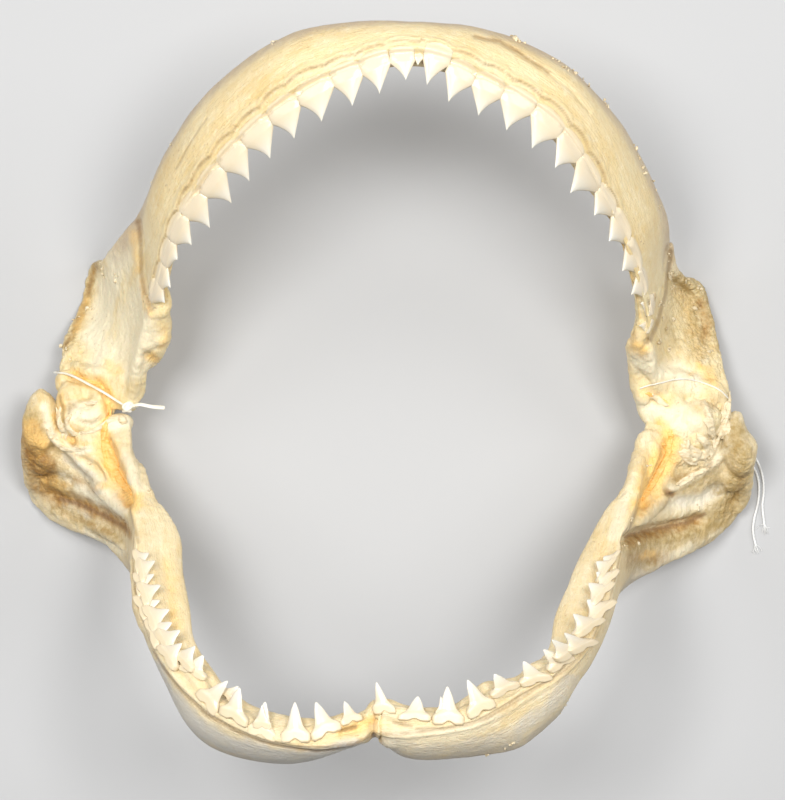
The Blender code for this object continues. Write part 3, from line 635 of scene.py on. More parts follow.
# Each half jaw is a path along its tooth edge, as (sideways, forward) in its own tilted plane, and
# cross-sections that stand on it.
jawSetup = {
    "origin": (0.0010, -0.0088, 0.0280),
    "rise": {"upper": math.radians(50), "lower": math.radians(46)},
    "facing": {"upper": 1, "lower": -1},
    "toothEdge": {
        "upper_left": (
            (0.0093, 0.1835), (-0.003, 0.182), (-0.018, 0.1755), (-0.037, 0.1655), (-0.056, 0.1475),
            (-0.072, 0.1285), (-0.085, 0.1045), (-0.092, 0.0845), (-0.098, 0.063), (-0.102, 0.039),
            (-0.1055, 0.021), (-0.108, 0.002)),
        "upper_right": (
            (0.0097, 0.1835), (0.022, 0.180), (0.032, 0.175), (0.050, 0.1625), (0.065, 0.1495),
            (0.077, 0.1305), (0.088, 0.1045), (0.095, 0.0855), (0.102, 0.0645), (0.106, 0.045),
            (0.1085, 0.021), (0.110, 0.002)),
        "lower_left": (
            (-0.0057, 0.1665), (-0.016, 0.171), (-0.029, 0.174), (-0.049, 0.170), (-0.071, 0.157),
            (-0.088, 0.136), (-0.098, 0.111), (-0.103, 0.087), (-0.1045, 0.063), (-0.107, 0.041),
            (-0.109, 0.019), (-0.110, 0.002)),
        "lower_right": (
            (-0.0053, 0.1665), (0.009, 0.166), (0.021, 0.165), (0.034, 0.161), (0.050, 0.149),
            (0.066, 0.137), (0.077, 0.123), (0.086, 0.100), (0.091, 0.079), (0.096, 0.056),
            (0.102, 0.033), (0.106, 0.002)),
    },
    # The rest are profiles from symphysis (0) to joint (1): how deep the plate reaches below the
    # tooth edge, how far out its crest lies, how thick the bar and the crest are, how far the face
    # bows, and how early it turns out and down.
    "depth": {
        "upper_left": ((0, 0.018), (0.1, 0.021), (0.2, 0.025), (0.4, 0.031), (0.6, 0.035), (0.75, 0.039),
                       (0.83, 0.046), (0.90, 0.0592), (0.95, 0.047), (0.975, 0.026), (1, 0.014)),
        "upper_right": ((0, 0.018), (0.1, 0.022), (0.2, 0.025), (0.4, 0.0295), (0.6, 0.033), (0.75, 0.036),
                        (0.83, 0.043), (0.90, 0.057), (0.95, 0.046), (0.975, 0.026), (1, 0.014)),
        "lower_left": ((0, 0.018), (0.2, 0.022), (0.4, 0.023), (0.6, 0.028), (0.75, 0.036),
                       (0.88, 0.043), (0.95, 0.045), (1, 0.042)),
        "lower_right": ((0, 0.018), (0.2, 0.021), (0.4, 0.023), (0.6, 0.028), (0.75, 0.036),
                        (0.88, 0.045), (0.95, 0.047), (1, 0.042)),
    },
    "crestOut": {
        "upper_left": ((0, -0.001), (0.17, 0.006), (0.33, 0.009), (0.5, 0.0085), (0.67, 0.0095),
                       (0.75, 0.015), (0.83, 0.022), (0.90, 0.028), (0.96, 0.033), (1, 0.032)),
        "upper_right": ((0, -0.001), (0.08, 0.001), (0.17, 0.005), (0.33, 0.008), (0.5, 0.0130),
                        (0.67, 0.0145), (0.75, 0.0130), (0.83, 0.0155), (0.92, 0.026), (1, 0.028)),
        "lower_left": ((0, -0.013), (0.17, -0.006), (0.33, 0.000), (0.45, -0.007), (0.67, -0.002),
                       (0.75, 0.002), (0.83, 0.010), (0.92, 0.030), (1, 0.046)),
        "lower_right": ((0, -0.0125), (0.02, -0.0068), (0.045, -0.0032), (0.08, -0.0012), (0.17, 0.001),
                        (0.25, 0.0065), (0.33, 0.004),
                        (0.42, -0.003), (0.58, -0.003), (0.67, 0.000), (0.75, 0.007), (0.83, 0.016),
                        (0.92, 0.034), (1, 0.046)),
    },
    "bar": {
        "upper_left": ((0, 0.012), (0.3, 0.013), (0.5, 0.011), (0.62, 0.007), (0.70, 0.007),
                       (0.80, 0.009), (1, 0.010)),
        "upper_right": ((0, 0.012), (0.3, 0.013), (0.5, 0.010), (0.62, 0.007), (0.70, 0.007),
                        (0.80, 0.009), (1, 0.010)),
        "lower_left": ((0, 0.006), (0.07, 0.011), (0.25, 0.015), (0.45, 0.020), (0.70, 0.020), (0.80, 0.014),
                       (0.88, 0.008), (0.94, 0.007), (1, 0.010)),
        "lower_right": ((0, 0.006), (0.07, 0.011), (0.25, 0.015), (0.45, 0.020), (0.60, 0.018), (0.75, 0.012),
                        (0.86, 0.0065), (0.93, 0.0065), (1, 0.010)),
    },
    "crest": {
        "upper": ((0, 0.008), (0.3, 0.009), (0.6, 0.008), (0.75, 0.005), (0.9, 0.005), (1, 0.009)),
        "lower": ((0, 0.009), (0.5, 0.010), (0.75, 0.006), (0.9, 0.005), (1, 0.006)),
    },
    "bow": {
        "upper": ((0, 0.002), (0.3, 0.004), (0.6, 0.004), (0.75, 0.002), (1, 0.0)),
        "lower": ((0, 0.002), (0.4, 0.003), (0.7, 0.003), (0.85, 0.001), (1, 0.0)),
    },
    "outPower": {
        "upper": ((0, 1.0), (0.6, 1.0), (0.75, 1.8), (0.88, 1.4), (1, 0.7)),
        "lower": ((0, 1.0), (0.65, 1.0), (0.8, 2.0), (0.9, 1.3), (1, 0.5)),
    },
    "deepPower": {
        "upper": ((0, 1.0), (0.8, 1.0), (0.92, 1.3), (1, 2.0)),
        "lower": ((0, 1.0), (0.8, 1.0), (0.92, 1.5), (1, 2.4)),
    },
}


class HalfJaw:
    seam = 0.006  # share of its length by which a half reaches over the symphysis

    def __init__(self, jaw, side):
        self.jaw, self.side, self.key = jaw, side, f"{jaw}_{side}"
        self.outward = -1 if side == "left" else 1
        edge = jawSetup["toothEdge"][self.key]
        before = (2 * edge[0][0] - edge[1][0], edge[1][1])
        after = (edge[-2][0], 2 * edge[-1][1] - edge[-2][1])
        self.path = curveThrough(edge, before, after)
        steps = np.linalg.norm(np.diff(self.path, axis=0), axis=1)
        self.distance = np.concatenate(([0.0], np.cumsum(steps)))
        self.length = self.distance[-1]
        rise, facing = jawSetup["rise"][jaw], jawSetup["facing"][jaw]
        self.forward = np.array((0, facing * math.sin(rise), math.cos(rise)))
        self.deep = np.array((0, facing * math.cos(rise), -math.sin(rise)))
        self.origin = np.array(jawSetup["origin"])

    def onPath(self, distance):
        inside = np.clip(distance, 0, self.length)
        place = np.stack([np.interp(inside, self.distance, self.path[:, k]) for k in (0, 1)], -1)
        place[..., 0] -= self.outward * np.clip(-distance, 0, None)
        place[..., 1] -= np.clip(distance - self.length, 0, None)
        return place

    def at(self, distance, reach=0.003):
        # place on the tooth edge, the way along it and the way out, in the jaw's own plane
        distance = np.asarray(distance, float)
        along = unit(self.onPath(distance + reach) - self.onPath(distance - reach))
        out = np.stack([-along[..., 1], along[..., 0]], -1) * self.outward
        return self.onPath(distance), along, out

    def toWorld(self, flat, deep):
        flat, deep = np.asarray(flat), np.asarray(deep)
        side = np.zeros(flat.shape[:-1] + (3,))
        side[..., 0] = flat[..., 0]
        return self.origin + side + self.forward * flat[..., 1:2] + self.deep * deep[..., None]

    def fromWorld(self, points):
        # distance along the tooth edge, how far out of it, and how deep
        local = points - self.origin
        flat = np.stack([local[:, 0], local @ self.forward], 1)
        nearest = np.zeros(len(points), int)
        coarse = self.path[::3]
        for start in range(0, len(points), 4000):
            block = flat[start:start + 4000]
            gap = ((block[:, None, :] - coarse[None]) ** 2).sum(-1)
            nearest[start:start + 4000] = gap.argmin(1) * 3
        distance = self.distance[np.minimum(nearest, len(self.distance) - 1)]
        place, _, out = self.at(distance)
        return distance, ((flat - place) * out).sum(1), local @ self.deep

    def value(self, name, share):
        table = jawSetup[name]
        return profile(table[self.key] if self.key in table else table[self.jaw], share)

    def rings(self, shares, facePoints=46, crestPoints=11, edgePoints=13):
        names = ("depth", "crestOut", "bar", "crest", "bow", "outPower", "deepPower")
        depth, crestOut, bar, crest, bow, outPower, deepPower = (
            self.value(name, shares)[:, None] for name in names)
        v = np.linspace(0, 1, facePoints)[None, :]

        def outerFace(at):
            at = np.clip(at, 1e-4, 1)
            out = crestOut * at ** outPower + bow * np.sin(math.pi * at)
            return np.stack([out, depth * at ** deepPower], -1)

        face = outerFace(v)
        slope = unit(outerFace(v + 0.02) - outerFace(v - 0.02))
        normal = np.stack([slope[..., 1], -slope[..., 0]], -1)
        thickness = bar + (crest - bar) * v * v * (3 - 2 * v)
        inner = face - normal * thickness[..., None]
        turn = np.linspace(0, math.pi, crestPoints + 2)[1:-1][None, :, None]
        middle, half = (face[:, -1:] + inner[:, -1:]) / 2, (face[:, -1:] - inner[:, -1:]) / 2
        top = middle + half * np.cos(turn) + slope[:, -1:] * (crest * 0.44)[..., None] * np.sin(turn)
        turn = np.linspace(0, math.pi, edgePoints + 2)[1:-1][None, :, None]
        middle, half = (face[:, :1] + inner[:, :1]) / 2, (inner[:, :1] - face[:, :1]) / 2
        drop = np.sin(turn) ** 0.6 * (bar * 0.14)[..., None] * np.array([0, -1.0])
        edge = middle + half * np.sign(np.cos(turn)) * np.abs(np.cos(turn)) ** 0.7 + drop
        return np.concatenate([face, top, inner[:, ::-1], edge], 1)

    def shell(self, stations=330):
        even = np.linspace(0, 1, stations)
        shares = even + 0.38 * (np.sin(math.pi / 2 * even) - even)
        shares[0] = -self.seam
        outline = self.rings(shares)
        place, _, out = self.at(shares * self.length)
        flat = place[:, None, :] + out[:, None, :] * outline[..., 0:1]
        vertices = self.toWorld(flat, outline[..., 1])
        rows, columns = vertices.shape[:2]
        centres = vertices[[0, -1]].mean(1)
        faces = gridFaces(rows, columns)
        first, last = rows * columns, rows * columns + 1
        for column in range(columns):
            after = (column + 1) % columns
            faces.append((first, after, column))
            faces.append((last, (rows - 1) * columns + column, (rows - 1) * columns + after))
        return np.vstack([vertices.reshape(-1, 3), centres]), faces


halves = {f"{jaw}_{side}": HalfJaw(jaw, side) for jaw in ("upper", "lower") for side in ("left", "right")}


# Each tooth stands on three points in millimetres: its tip, then the corners of its base
# nearest and farthest from the symphysis. In the lower jaw the corners are the root's feet.
toothSetup = {
    "places": {
        "upper_left": (
            ((6.0, 118.7, 144.6), (9.3, 126.0, 144.4), (0.3, 125.1, 143.7)),
            ((-4.1, 113.7, 142.6), (0.2, 125.3, 143.6), (-10.2, 121.1, 140.8)),
            ((-14.5, 109.3, 139.1), (-10.2, 121.1, 140.5), (-21.4, 117.3, 137.1)),
            ((-26.4, 103.8, 134.7), (-21.4, 117.3, 137.3), (-34.1, 110.5, 132.5)),
            ((-37.1, 97.8, 128.2), (-34.2, 110.5, 131.9), (-45.2, 103.8, 125.5)),
            ((-46.7, 90.7, 120.7), (-45.2, 103.9, 125.1), (-55.6, 95.5, 118.0)),
            ((-55.1, 82.5, 112.9), (-55.6, 95.5, 117.7), (-64.3, 86.8, 110.8)),
            ((-62.5, 74.4, 105.0), (-64.3, 86.9, 110.6), (-72.3, 76.9, 102.2)),
            ((-71.5, 65.1, 98.3), (-72.2, 76.8, 103.0), (-80.0, 68.5, 94.6)),
            ((-79.1, 58.6, 93.2), (-79.9, 68.4, 96.1), (-85.7, 59.1, 87.2)),
            ((-85.2, 53.2, 86.5), (-85.5, 59.1, 87.9), (-89.5, 50.0, 79.9)),
            ((-88.5, 42.2, 79.8), (-89.4, 50.0, 80.4), (-91.9, 41.9, 74.6)),
            ((-91.4, 36.4, 73.5), (-91.9, 42.0, 74.6), (-96.8, 36.3, 64.5)),
        ),
        "upper_right": (
            ((10.7, 124.3, 144.0), (9.4, 126.8, 144.0), (12.6, 126.8, 143.9)),
            ((14.2, 116.9, 143.3), (12.8, 127.2, 144.0), (22.5, 124.8, 141.7)),
            ((22.5, 110.7, 141.1), (21.4, 122.1, 142.0), (31.3, 117.5, 138.6)),
            ((34.1, 105.9, 136.5), (31.3, 117.5, 138.4), (42.5, 113.0, 133.6)),
            ((45.0, 100.7, 131.7), (42.5, 113.0, 133.6), (54.6, 107.3, 127.8)),
            ((55.1, 94.2, 126.7), (54.5, 107.2, 128.2), (65.0, 98.8, 121.4)),
            ((64.4, 87.1, 121.7), (65.0, 98.8, 121.9), (73.3, 89.8, 113.1)),
            ((70.7, 77.6, 119.7), (73.2, 89.7, 114.6), (81.4, 79.2, 102.6)),
            ((80.9, 69.8, 104.9), (81.2, 78.5, 103.6), (88.4, 70.1, 91.3)),
            ((87.4, 60.1, 95.0), (88.3, 69.6, 93.0), (94.8, 59.5, 81.2)),
            ((93.5, 48.8, 84.3), (94.8, 58.6, 81.6), (100.1, 48.3, 71.7)),
            ((97.7, 39.6, 75.4), (99.9, 47.8, 72.8), (102.7, 39.1, 66.4)),
            ((102.1, 36.3, 66.1), (105.7, 40.0, 62.6), (104.7, 31.5, 60.3)),
            ((101.8, 27.4, 62.2), (106.4, 30.4, 56.7), (104.6, 24.9, 56.6)),
        ),
        "lower_left": (
            ((-17.1, -117.1, 143.4), (-10.0, -124.6, 142.0), (-18.2, -126.6, 145.0)),
            ((-28.0, -117.2, 146.0), (-17.8, -127.7, 145.1), (-29.1, -132.4, 147.1)),
            ((-36.2, -117.3, 145.4), (-29.9, -132.5, 146.5), (-41.5, -133.0, 145.3)),
            ((-47.5, -117.4, 143.8), (-43.1, -133.1, 144.6), (-54.6, -129.7, 141.2)),
            ((-57.4, -112.1, 142.1), (-54.3, -127.8, 141.0), (-65.4, -122.6, 136.2)),
            ((-62.2, -109.9, 139.0), (-67.4, -124.3, 134.5), (-75.0, -115.6, 129.3)),
            ((-72.1, -100.9, 130.1), (-71.4, -111.2, 131.6), (-82.1, -106.7, 122.1)),
            ((-80.7, -96.6, 119.8), (-83.8, -107.6, 120.7), (-90.8, -99.1, 111.0)),
            ((-85.3, -89.3, 110.6), (-91.5, -100.5, 112.3), (-96.7, -89.6, 101.6)),
            ((-90.8, -81.4, 100.4), (-96.7, -90.3, 103.2), (-102.2, -81.1, 92.8)),
            ((-93.8, -71.7, 90.6), (-99.4, -81.4, 95.1), (-102.6, -72.4, 85.6)),
            ((-96.5, -63.8, 81.8), (-100.4, -73.1, 87.9), (-103.4, -63.6, 77.4)),
        ),
        "lower_right": (
            ((-5.3, -110.3, 140.8), (-6.0, -122.8, 141.2), (2.7, -122.1, 141.1)),
            ((10.7, -115.6, 140.6), (2.7, -124.7, 141.2), (15.7, -125.3, 140.7)),
            ((22.0, -111.9, 139.8), (16.1, -126.5, 140.9), (28.5, -126.8, 139.4)),
            ((29.8, -109.4, 140.0), (30.4, -125.0, 138.8), (41.1, -120.1, 134.0)),
            ((40.2, -107.5, 137.7), (39.5, -117.4, 134.9), (50.5, -112.6, 128.3)),
            ((51.6, -103.2, 131.0), (50.8, -113.5, 127.5), (63.3, -110.7, 119.9)),
            ((59.5, -98.9, 126.9), (62.5, -108.7, 120.7), (72.3, -103.2, 112.9)),
            ((68.0, -92.6, 119.2), (70.6, -101.8, 115.6), (81.8, -98.0, 100.2)),
            ((77.8, -81.0, 101.3), (79.1, -91.3, 105.5), (90.0, -83.3, 91.0)),
            ((82.1, -70.9, 90.6), (83.7, -80.1, 96.2), (91.8, -71.3, 83.8)),
            ((85.3, -65.3, 84.0), (85.6, -72.2, 89.2), (92.6, -63.6, 77.9)),
        ),
    },
    "behind": {
        "lower_left": (((-48.6, -118.6, 142.6), (-44.8, -128.0, 142.0), (-52.0, -127.5, 140.5)),
                       ((-58.0, -112.0, 139.0), (-60.0, -119.5, 138.0), (-66.0, -114.0, 135.0))),
        "lower_right": (((19.4, -115.6, 137.5), (17.5, -124.0, 138.5), (24.0, -124.5, 138.0)),),
    },
    "rowEnd": {"upper_left": 0.172, "upper_right": 0.176, "lower_left": 0.166, "lower_right": 0.160},
    "thick": {"upper": (0.12, 0.16), "lower": (0.085, 0.17)},
    "rootRun": 8.0 * mm, "rootShare": 0.78, "rootLean": 0.06, "rootProud": 0.45 * mm, "rootRows": 14,
    "clear": 0.4 * mm, "bend": 0.05, "overlap": 1.03, "blunt": 0.022, "saw": 0.005,
    # from this tooth on, those in a lower half lie folded over with a broad body, and a second row
    # of them shows between them, farther in and lower by so many millimetres
    "foldedFrom": {"lower_left": 7, "lower_right": 7}, "inward": 1.8, "lower": 0.6,
    # half widths of a lower tooth from its feet (0) to its tip (1), as shares of its base
    "standing": ((0, 0.44), (0.08, 0.50), (0.20, 0.50), (0.28, 0.44), (0.36, 0.33), (0.44, 0.26),
                 (0.56, 0.21), (0.68, 0.17), (0.80, 0.125), (0.90, 0.075), (0.97, 0.038), (1, 0.012)),
    "folded": ((0, 0.46), (0.08, 0.52), (0.26, 0.49), (0.38, 0.385), (0.50, 0.26), (0.64, 0.17),
               (0.80, 0.105),
               (0.93, 0.05), (1, 0.014)),
    "arch": (0.10, 0.22),
}


# tubes of dried gum along the row: how far up the teeth, how far behind their faces, radius
gumSetup = {"tubes": ((0.10, 1.7 * mm, 3.7 * mm), (0.26, 7.2 * mm, 2.6 * mm)), "bumps": 0.14,
            "bumpSize": 5 * mm}


# Ridges and knobs that stand on each half, in millimetres: line of (x, y, z), radius.
# Strokes carve (depth, width) or colour (strength, width) along a line of (x, y). A push moves
# what is near its point by (x, y), less and less up to its reach.
# Of the colour strokes, the crease ones are painted shade, the brown ones are a stain and painted valley
# shade together, and the pale ones are lighter patches and painted highlight.
cartilageDetail = {
    "upper_left": {
        "push": [((-134, 38), (5.8, -1.0), 11), ((-97, 9), (-3.2, 0.6), 7), ((-128, 51), (2.4, -0.8), 6)],
        "blobs": [((-127.5, -9.6, 28.0), (11.0, 7.5, 7.5)), ((-121.5, -5.5, 29.5), (6.0, 6.5, 5.0)),
                  ((-134.0, -3.5, 24.5), (6.5, 9.0, 6.0)), ((-131.5, -13.5, 27.5), (6.0, 5.0, 5.5)),
                  ((-137.5, 4.5, 20.0), (4.0, 5.0, 4.0))],
        "ridges": [
            (((-99.5, 40, 59), (-97, 34.5, 61), (-93.5, 33.5, 62.5), (-90.8, 37, 64), (-90.5, 42, 66)), 2.8),
            (((-95.5, 26, 54), (-93.5, 21.5, 50)), 4.2),
            (((-92.8, 36, 63), (-92.6, 30.7, 58), (-92.8, 23.9, 51.5), (-96.8, 17, 47), (-100.2, 10.5, 40.5),
              (-105, 1, 33), (-109.5, -6, 29)), 2.8),
            (((-98.5, 30, 58), (-100.5, 19.8, 50), (-104.7, 7.6, 39.5), (-108.8, -2.8, 31)), 3.6),
            (((-134, 13, 20), (-127, 9, 25), (-120, 8, 29), (-113, 5, 31)), 3.0),
            (((-134.0, 9.5, 20.5), (-131.5, 1.4, 24.0), (-130.0, -4.5, 27.5)), 3.2),
        ],
        "carve": [
            (((-104.5, 70.6), (-102.6, 62), (-102.2, 49), (-100.4, 40.3), (-97.6, 34.1)), 2.2, 1.7),
            (((-133, 6.4), (-126.9, 4.4), (-123, 4.5), (-119.5, 0.5), (-117.5, -4.9), (-116.8, -10.4)),
             2.4, 1.7),
            (((-99.2, 15), (-96.6, 12.9)), 2.4, 2.2),
            (((-121, 53), (-126.5, 42), (-128.5, 31.2), (-127, 20.5)), 1.0, 7.0),
            (((-110, 50), (-107, 38), (-108, 26), (-112, 14)), 0.8, 5.5),
            (((-72.2, 107.5), (-78.9, 98.7), (-85, 88.9)), 0.25, 0.7),
            (((-137, 14), (-131, 15), (-126, 13)), 1.2, 1.6),
            (((-130, -2), (-124, -1), (-120, -3)), 0.8, 1.3),
            (((-134, -4), (-130, -6.5), (-124, -5)), 1.2, 1.2),
            (((-131, -11), (-126, -13), (-121, -11)), 1.2, 1.2),
            (((-138, -6), (-133, -9), (-128, -9)), 1.0, 1.4),
            (((-127, -4), (-126, -10), (-127, -15)), 0.9, 1.2),
        ],
        "amber": [
            (((-133, 8), (-126.9, 5.6), (-121, 4.3), (-118.3, -0.5), (-117.0, -7.8), (-118, -13)), 0.9, 3.2),
            (((-119, 12), (-114, 9)), 0.55, 3.0), (((-99.2, 15), (-96.6, 12.9)), 0.75, 2.6),
            (((-106.2, 65.4), (-104.6, 59), (-103.7, 50.7)), 0.45, 3.0),
            (((-130.2, 39.9), (-134, 27)), 0.4, 2.6), (((-101.5, 46), (-100, 38), (-98, 33)), 0.55, 2.0),
            (((-92.5, 26), (-94, 20)), 0.4, 2.6),
            (((-138.7, -1.5), (-137, -7), (-136.6, -12), (-132.4, -16.6), (-126.6, -18.3),
              (-121.2, -16.6)), 0.5, 1.8),
        ],
        "brownStainAndShade": [(((-104.5, 72), (-102.6, 62)), 0.3, 2.0), (((-136, -1), (-134, -7)), 0.35, 2.0),
                  (((-125.5, 55), (-129, 46.5), (-131.5, 36), (-134.5, 27.5), (-138, 20)), 0.65, 1.7)],
        "olive": [(((-125.5, 55), (-129, 46.5), (-131.5, 36), (-134.5, 27.5), (-138, 20)), 0.5, 2.8)],
        "creaseShade": [
            (((-104.5, 70.6), (-102.6, 62), (-102.2, 49), (-100.4, 40.3), (-97.6, 34.1)), 0.5, 1.3),
            (((-72.2, 107.5), (-78.9, 98.7), (-85, 88.9)), 0.35, 0.6),
            (((-138.7, -1.5), (-137, -7), (-136.6, -12), (-132.4, -16.6), (-126.6, -18.3),
              (-121.2, -16.6)), 0.5, 0.8),
            (((-134, -4), (-130, -6.5), (-124, -5)), 0.3, 0.6),
            (((-131, -11), (-126, -13), (-121, -11)), 0.35, 0.6),
        ],
        "paleAndHighlight": [
            (((-114, 56), (-121, 42), (-125, 24), (-121, 14)), 0.9, 8.0),
            (((-100, 27), (-107, 10)), 0.8, 7.0),
            (((-103, 40), (-112, 20)), 0.7, 9.0), (((-131, -9), (-124, -9)), 0.8, 6.0),
        ],
        "rough": [(((-136, 18), (-133, 12), (-128, 8)), 0.8, 5.0), (((-137, 25), (-138, 12)), 0.8, 3.5)],
    },
    "upper_right": {
        "push": [((125, 54), (-4.8, -2.2), 9), ((98, 12.5), (2.0, 0), 8), ((99, 30), (1.5, 0), 7)],
        "blobs": [((129.0, -10.6, 28.5), (9.5, 8.5, 7.5)), ((116.5, -6.5, 28.5), (9.5, 10.5, 6.5)),
                  ((121.0, -16.5, 28.0), (8.5, 8.0, 6.5)), ((134.0, -2.5, 23.5), (8.0, 8.0, 5.5)),
                  ((106.0, 3.0, 33.0), (4.5, 8.0, 5.0)), ((127.5, -19.5, 28.5), (6.0, 5.5, 5.0))],
        "ridges": [
            (((103.5, 33, 63), (104.9, 25.9, 56), (102.5, 21.5, 52), (99.8, 20.5, 50.5), (99.4, 17.8, 48.0),
              (102.1, 14.6, 45.5)), 2.8),
            (((98.8, 19, 47), (101.6, 9.7, 36), (105.8, -0.7, 31), (108, -8, 29), (112, -15, 28)), 3.6),
            (((108.9, 5.5, 38.0), (114.8, 7.2, 33.6), (123.7, 6.4, 27.4), (130.5, 3.5, 23),
              (135, -0.7, 20)), 2.2),
            (((118, 62, 34), (126, 50, 18), (131, 44, 8), (135, 31, 8), (137, 20, 11), (139.5, 8, 14)), 2.6),
            (((112, 8, 34), (113.5, -1, 31.5), (117, -9, 31)), 3.0),
            (((139.5, 8, 14), (140.8, 0, 17), (140.5, -8, 20)), 2.6),
        ],
        "carve": [
            (((117.3, 59.6), (116.6, 52.2), (114.9, 39.3), (110.4, 27), (105.8, 20.6)), 2.2, 1.9),
            (((32.7, 136.9), (42.5, 135.6), (54.1, 128.5), (61.2, 124.2), (70, 118.5), (78, 110)), 0.7, 1.1),
            (((27.5, 116.2), (38.3, 115), (50.5, 110.6), (60.5, 101.6), (68.6, 93.5), (78.3, 79.4),
              (88.2, 62.7), (95.4, 47.3), (99.9, 33.8)), 0.35, 1.0),
            (((122, 44), (121, 30), (118, 18)), 2.8, 6.0), (((105.8, 1), (111, -1.5), (118, -4.9)), 1.0, 2.4),
            (((113, 12), (122, 12), (130, 9)), 1.6, 1.8), (((124, -3), (130, -3), (135, -5)), 1.2, 2.2),
        ],
        "amber": [
            (((105.8, 1), (110.7, -1.5), (116, -3.9)), 0.62, 3.0),
            (((113, -13), (116.7, -19), (118, -23)), 0.85, 3.0),
            (((130.8, 11.6), (133.9, 9), (135.7, 5.2)), 0.75, 2.8), (((131, 10), (126, 8)), 0.5, 1.6),
            (((124, 40), (126, 32), (128, 24), (131, 18)), 0.26, 6.0),
            (((102.1, 19.4), (105.1, 17.8)), 0.8, 2.4),
            (((128, -6), (131, -10)), 0.4, 2.2),
        ],
        "brownStainAndShade": [
            (((32.7, 136.9), (42.5, 135.6), (54.1, 128.5), (61.2, 124.2)), 0.4, 1.4),
            (((133, 38), (135, 30), (133, 24)), 0.6, 2.6), (((99.5, 26), (100, 19), (105, 15)), 0.45, 2.6),
            (((126, -8), (133, -6), (137, -3)), 0.35, 3.5),
        ],
        "olive": [(((124, 48), (127, 38), (129, 28), (131, 20)), 0.7, 6.0),
                  (((130, 50), (137, 34), (139, 20)), 0.6, 4.0),
                  (((118, 30), (121, 20)), 0.35, 5.0)],
        "creaseShade": [
            (((117.3, 59.6), (116.6, 52.2), (114.9, 39.3), (110.4, 27), (105.8, 20.6)), 0.55, 1.3),
            (((32.7, 136.9), (42.5, 135.6), (54.1, 128.5), (61.2, 124.2)), 0.4, 0.7),
        ],
        "paleAndHighlight": [
            (((120, 52), (124, 44)), 0.6, 4.0), (((104, 14), (112, 9), (120, 9), (128, 5)), 0.9, 6.5),
            (((108, -4), (114, -9), (122, -12), (128, -8)), 0.9, 8.5), (((131, 22), (133, 15)), 0.6, 3.0),
        ],
        "rough": [
            (((124, 42), (127, 34), (129, 25), (131, 18)), 1.0, 8.0),
            (((124, 52), (131, 44), (135.5, 31), (138, 19), (140, 6)), 0.9, 4.5),
            (((128, 2), (134, -2), (136, -10)), 0.9, 5.0), (((120, -18), (126, -20)), 0.9, 5.0),
        ],
    },
    "lower_left": {
        "push": [((-149, -6), (2.6, 0), 6), ((-92.5, -40.5), (-3.6, -1.0), 12), ((-124, -65), (0.5, 3.0), 14),
                 ((-73, -98), (-3.6, -1.4), 11), ((-8, -134), (0, -2.4), 9)],
        "blobs": [((-147.7, -12.8, 23.5), (7.2, 14.5, 8.5)), ((-145.5, -27.0, 18.5), (7.5, 8.0, 7.0)),
                  ((-8.5, -126.0, 137.0), (6.0, 5.0, 5.5)), ((-4.8, -122.0, 136.5), (4.5, 5.0, 5.0))],
        "ridges": [
            (((-148.2, -3, 25), (-150.6, -10.3, 25), (-151.0, -19.6, 23), (-151.6, -29.2, 16),
              (-152.0, -37, 9),
              (-150.0, -43, 5)), 4.4),
            (((-145.0, -3.2, 27), (-144.2, -9.1, 28.8), (-142.7, -14.5, 28.3), (-140.3, -19.6, 25.0),
              (-135.6, -23.8, 27.6), (-130.8, -24.6, 29.5), (-125.5, -23.7, 32.0), (-121.9, -21.6, 34.0)),
              2.6),
            (((-120.1, -15.0, 31.5), (-116.5, -13.4, 30.5), (-112.9, -12.3, 29.5), (-109.9, -12.0, 27.5)),
             3.8),
            (((-116.8, -18.5, 35.0), (-112.4, -22.8, 38), (-108.5, -28.5, 43.5), (-103.4, -37.7, 54.5),
              (-98.2, -47.6, 63.5)), 3.4),
            (((-134.3, -24.6, 27.5), (-130.1, -28.8, 28), (-123.6, -35.5, 29.7), (-117.9, -41.2, 33),
              (-111.3, -47.2, 40.5), (-105.5, -50.7, 54)), 4.6),
            (((-127.7, -24.6, 31), (-122.1, -27, 33), (-118.0, -32, 35.3), (-116.0, -37.1, 36)), 2.4),
            (((-153.0, -42.3, 3.2), (-141.6, -50.4, 9.5), (-127.4, -57.4, 18.5), (-111.0, -65.2, 37)), 2.4),
            (((-140.5, -5.5, 22), (-140.4, -12.4, 24), (-139.0, -18.4, 25.0), (-135.5, -21.6, 27.0)), 3.8),
        ],
        "carve": [
            (((-119.9, -19.5), (-118.2, -24.5), (-115.4, -31.1), (-111.3, -37.6), (-106.6, -43)), 4.6, 3.2),
            (((-144, -43), (-137.0, -45.4), (-129, -47.6), (-121.3, -50.8), (-112.4, -55.5)), 2.4, 3.2),
            (((-134.4, -17.1), (-132.9, -20.5)), 2.6, 1.3),
            (((-141, -24), (-135, -29.5), (-127, -37)), 2.2, 2.6), (((-149, -24), (-144, -26)), 1.2, 2.0),
            (((-150, -31), (-143, -35), (-136, -37)), 1.4, 2.2),
            (((-92.4, -101.3), (-87.3, -107.2), (-80, -115.3), (-70, -123.4), (-59.4, -128.5),
              (-48.3, -132.7),
              (-37.4, -134.6), (-28, -136.2), (-16, -134.8), (-8.4, -131.0)), 0.9, 0.9),
            (((-92, -64), (-88.6, -75), (-85.8, -87), (-81, -98)), 1.4, 3.2),
            (((-5.6, -122), (-6.2, -129), (-5.6, -137)), 2.2, 1.7),
            (((-18, -128.6), (-12, -126.6)), 1.4, 1.1),
        ],
        "amber": [
            (((-119.9, -19.5), (-118.2, -25.5), (-115.0, -32), (-111.2, -37.9), (-106.2, -43.5)), 1.1, 4.6),
            (((-151.0, -14.3), (-149.0, -18.2), (-146.5, -20.5)), 0.7, 4.2),
            (((-140, -15), (-137, -21.5), (-131, -26.5), (-123, -25.5)), 0.4, 1.6),
            (((-146, -38), (-136, -40)), 0.35, 4.0),
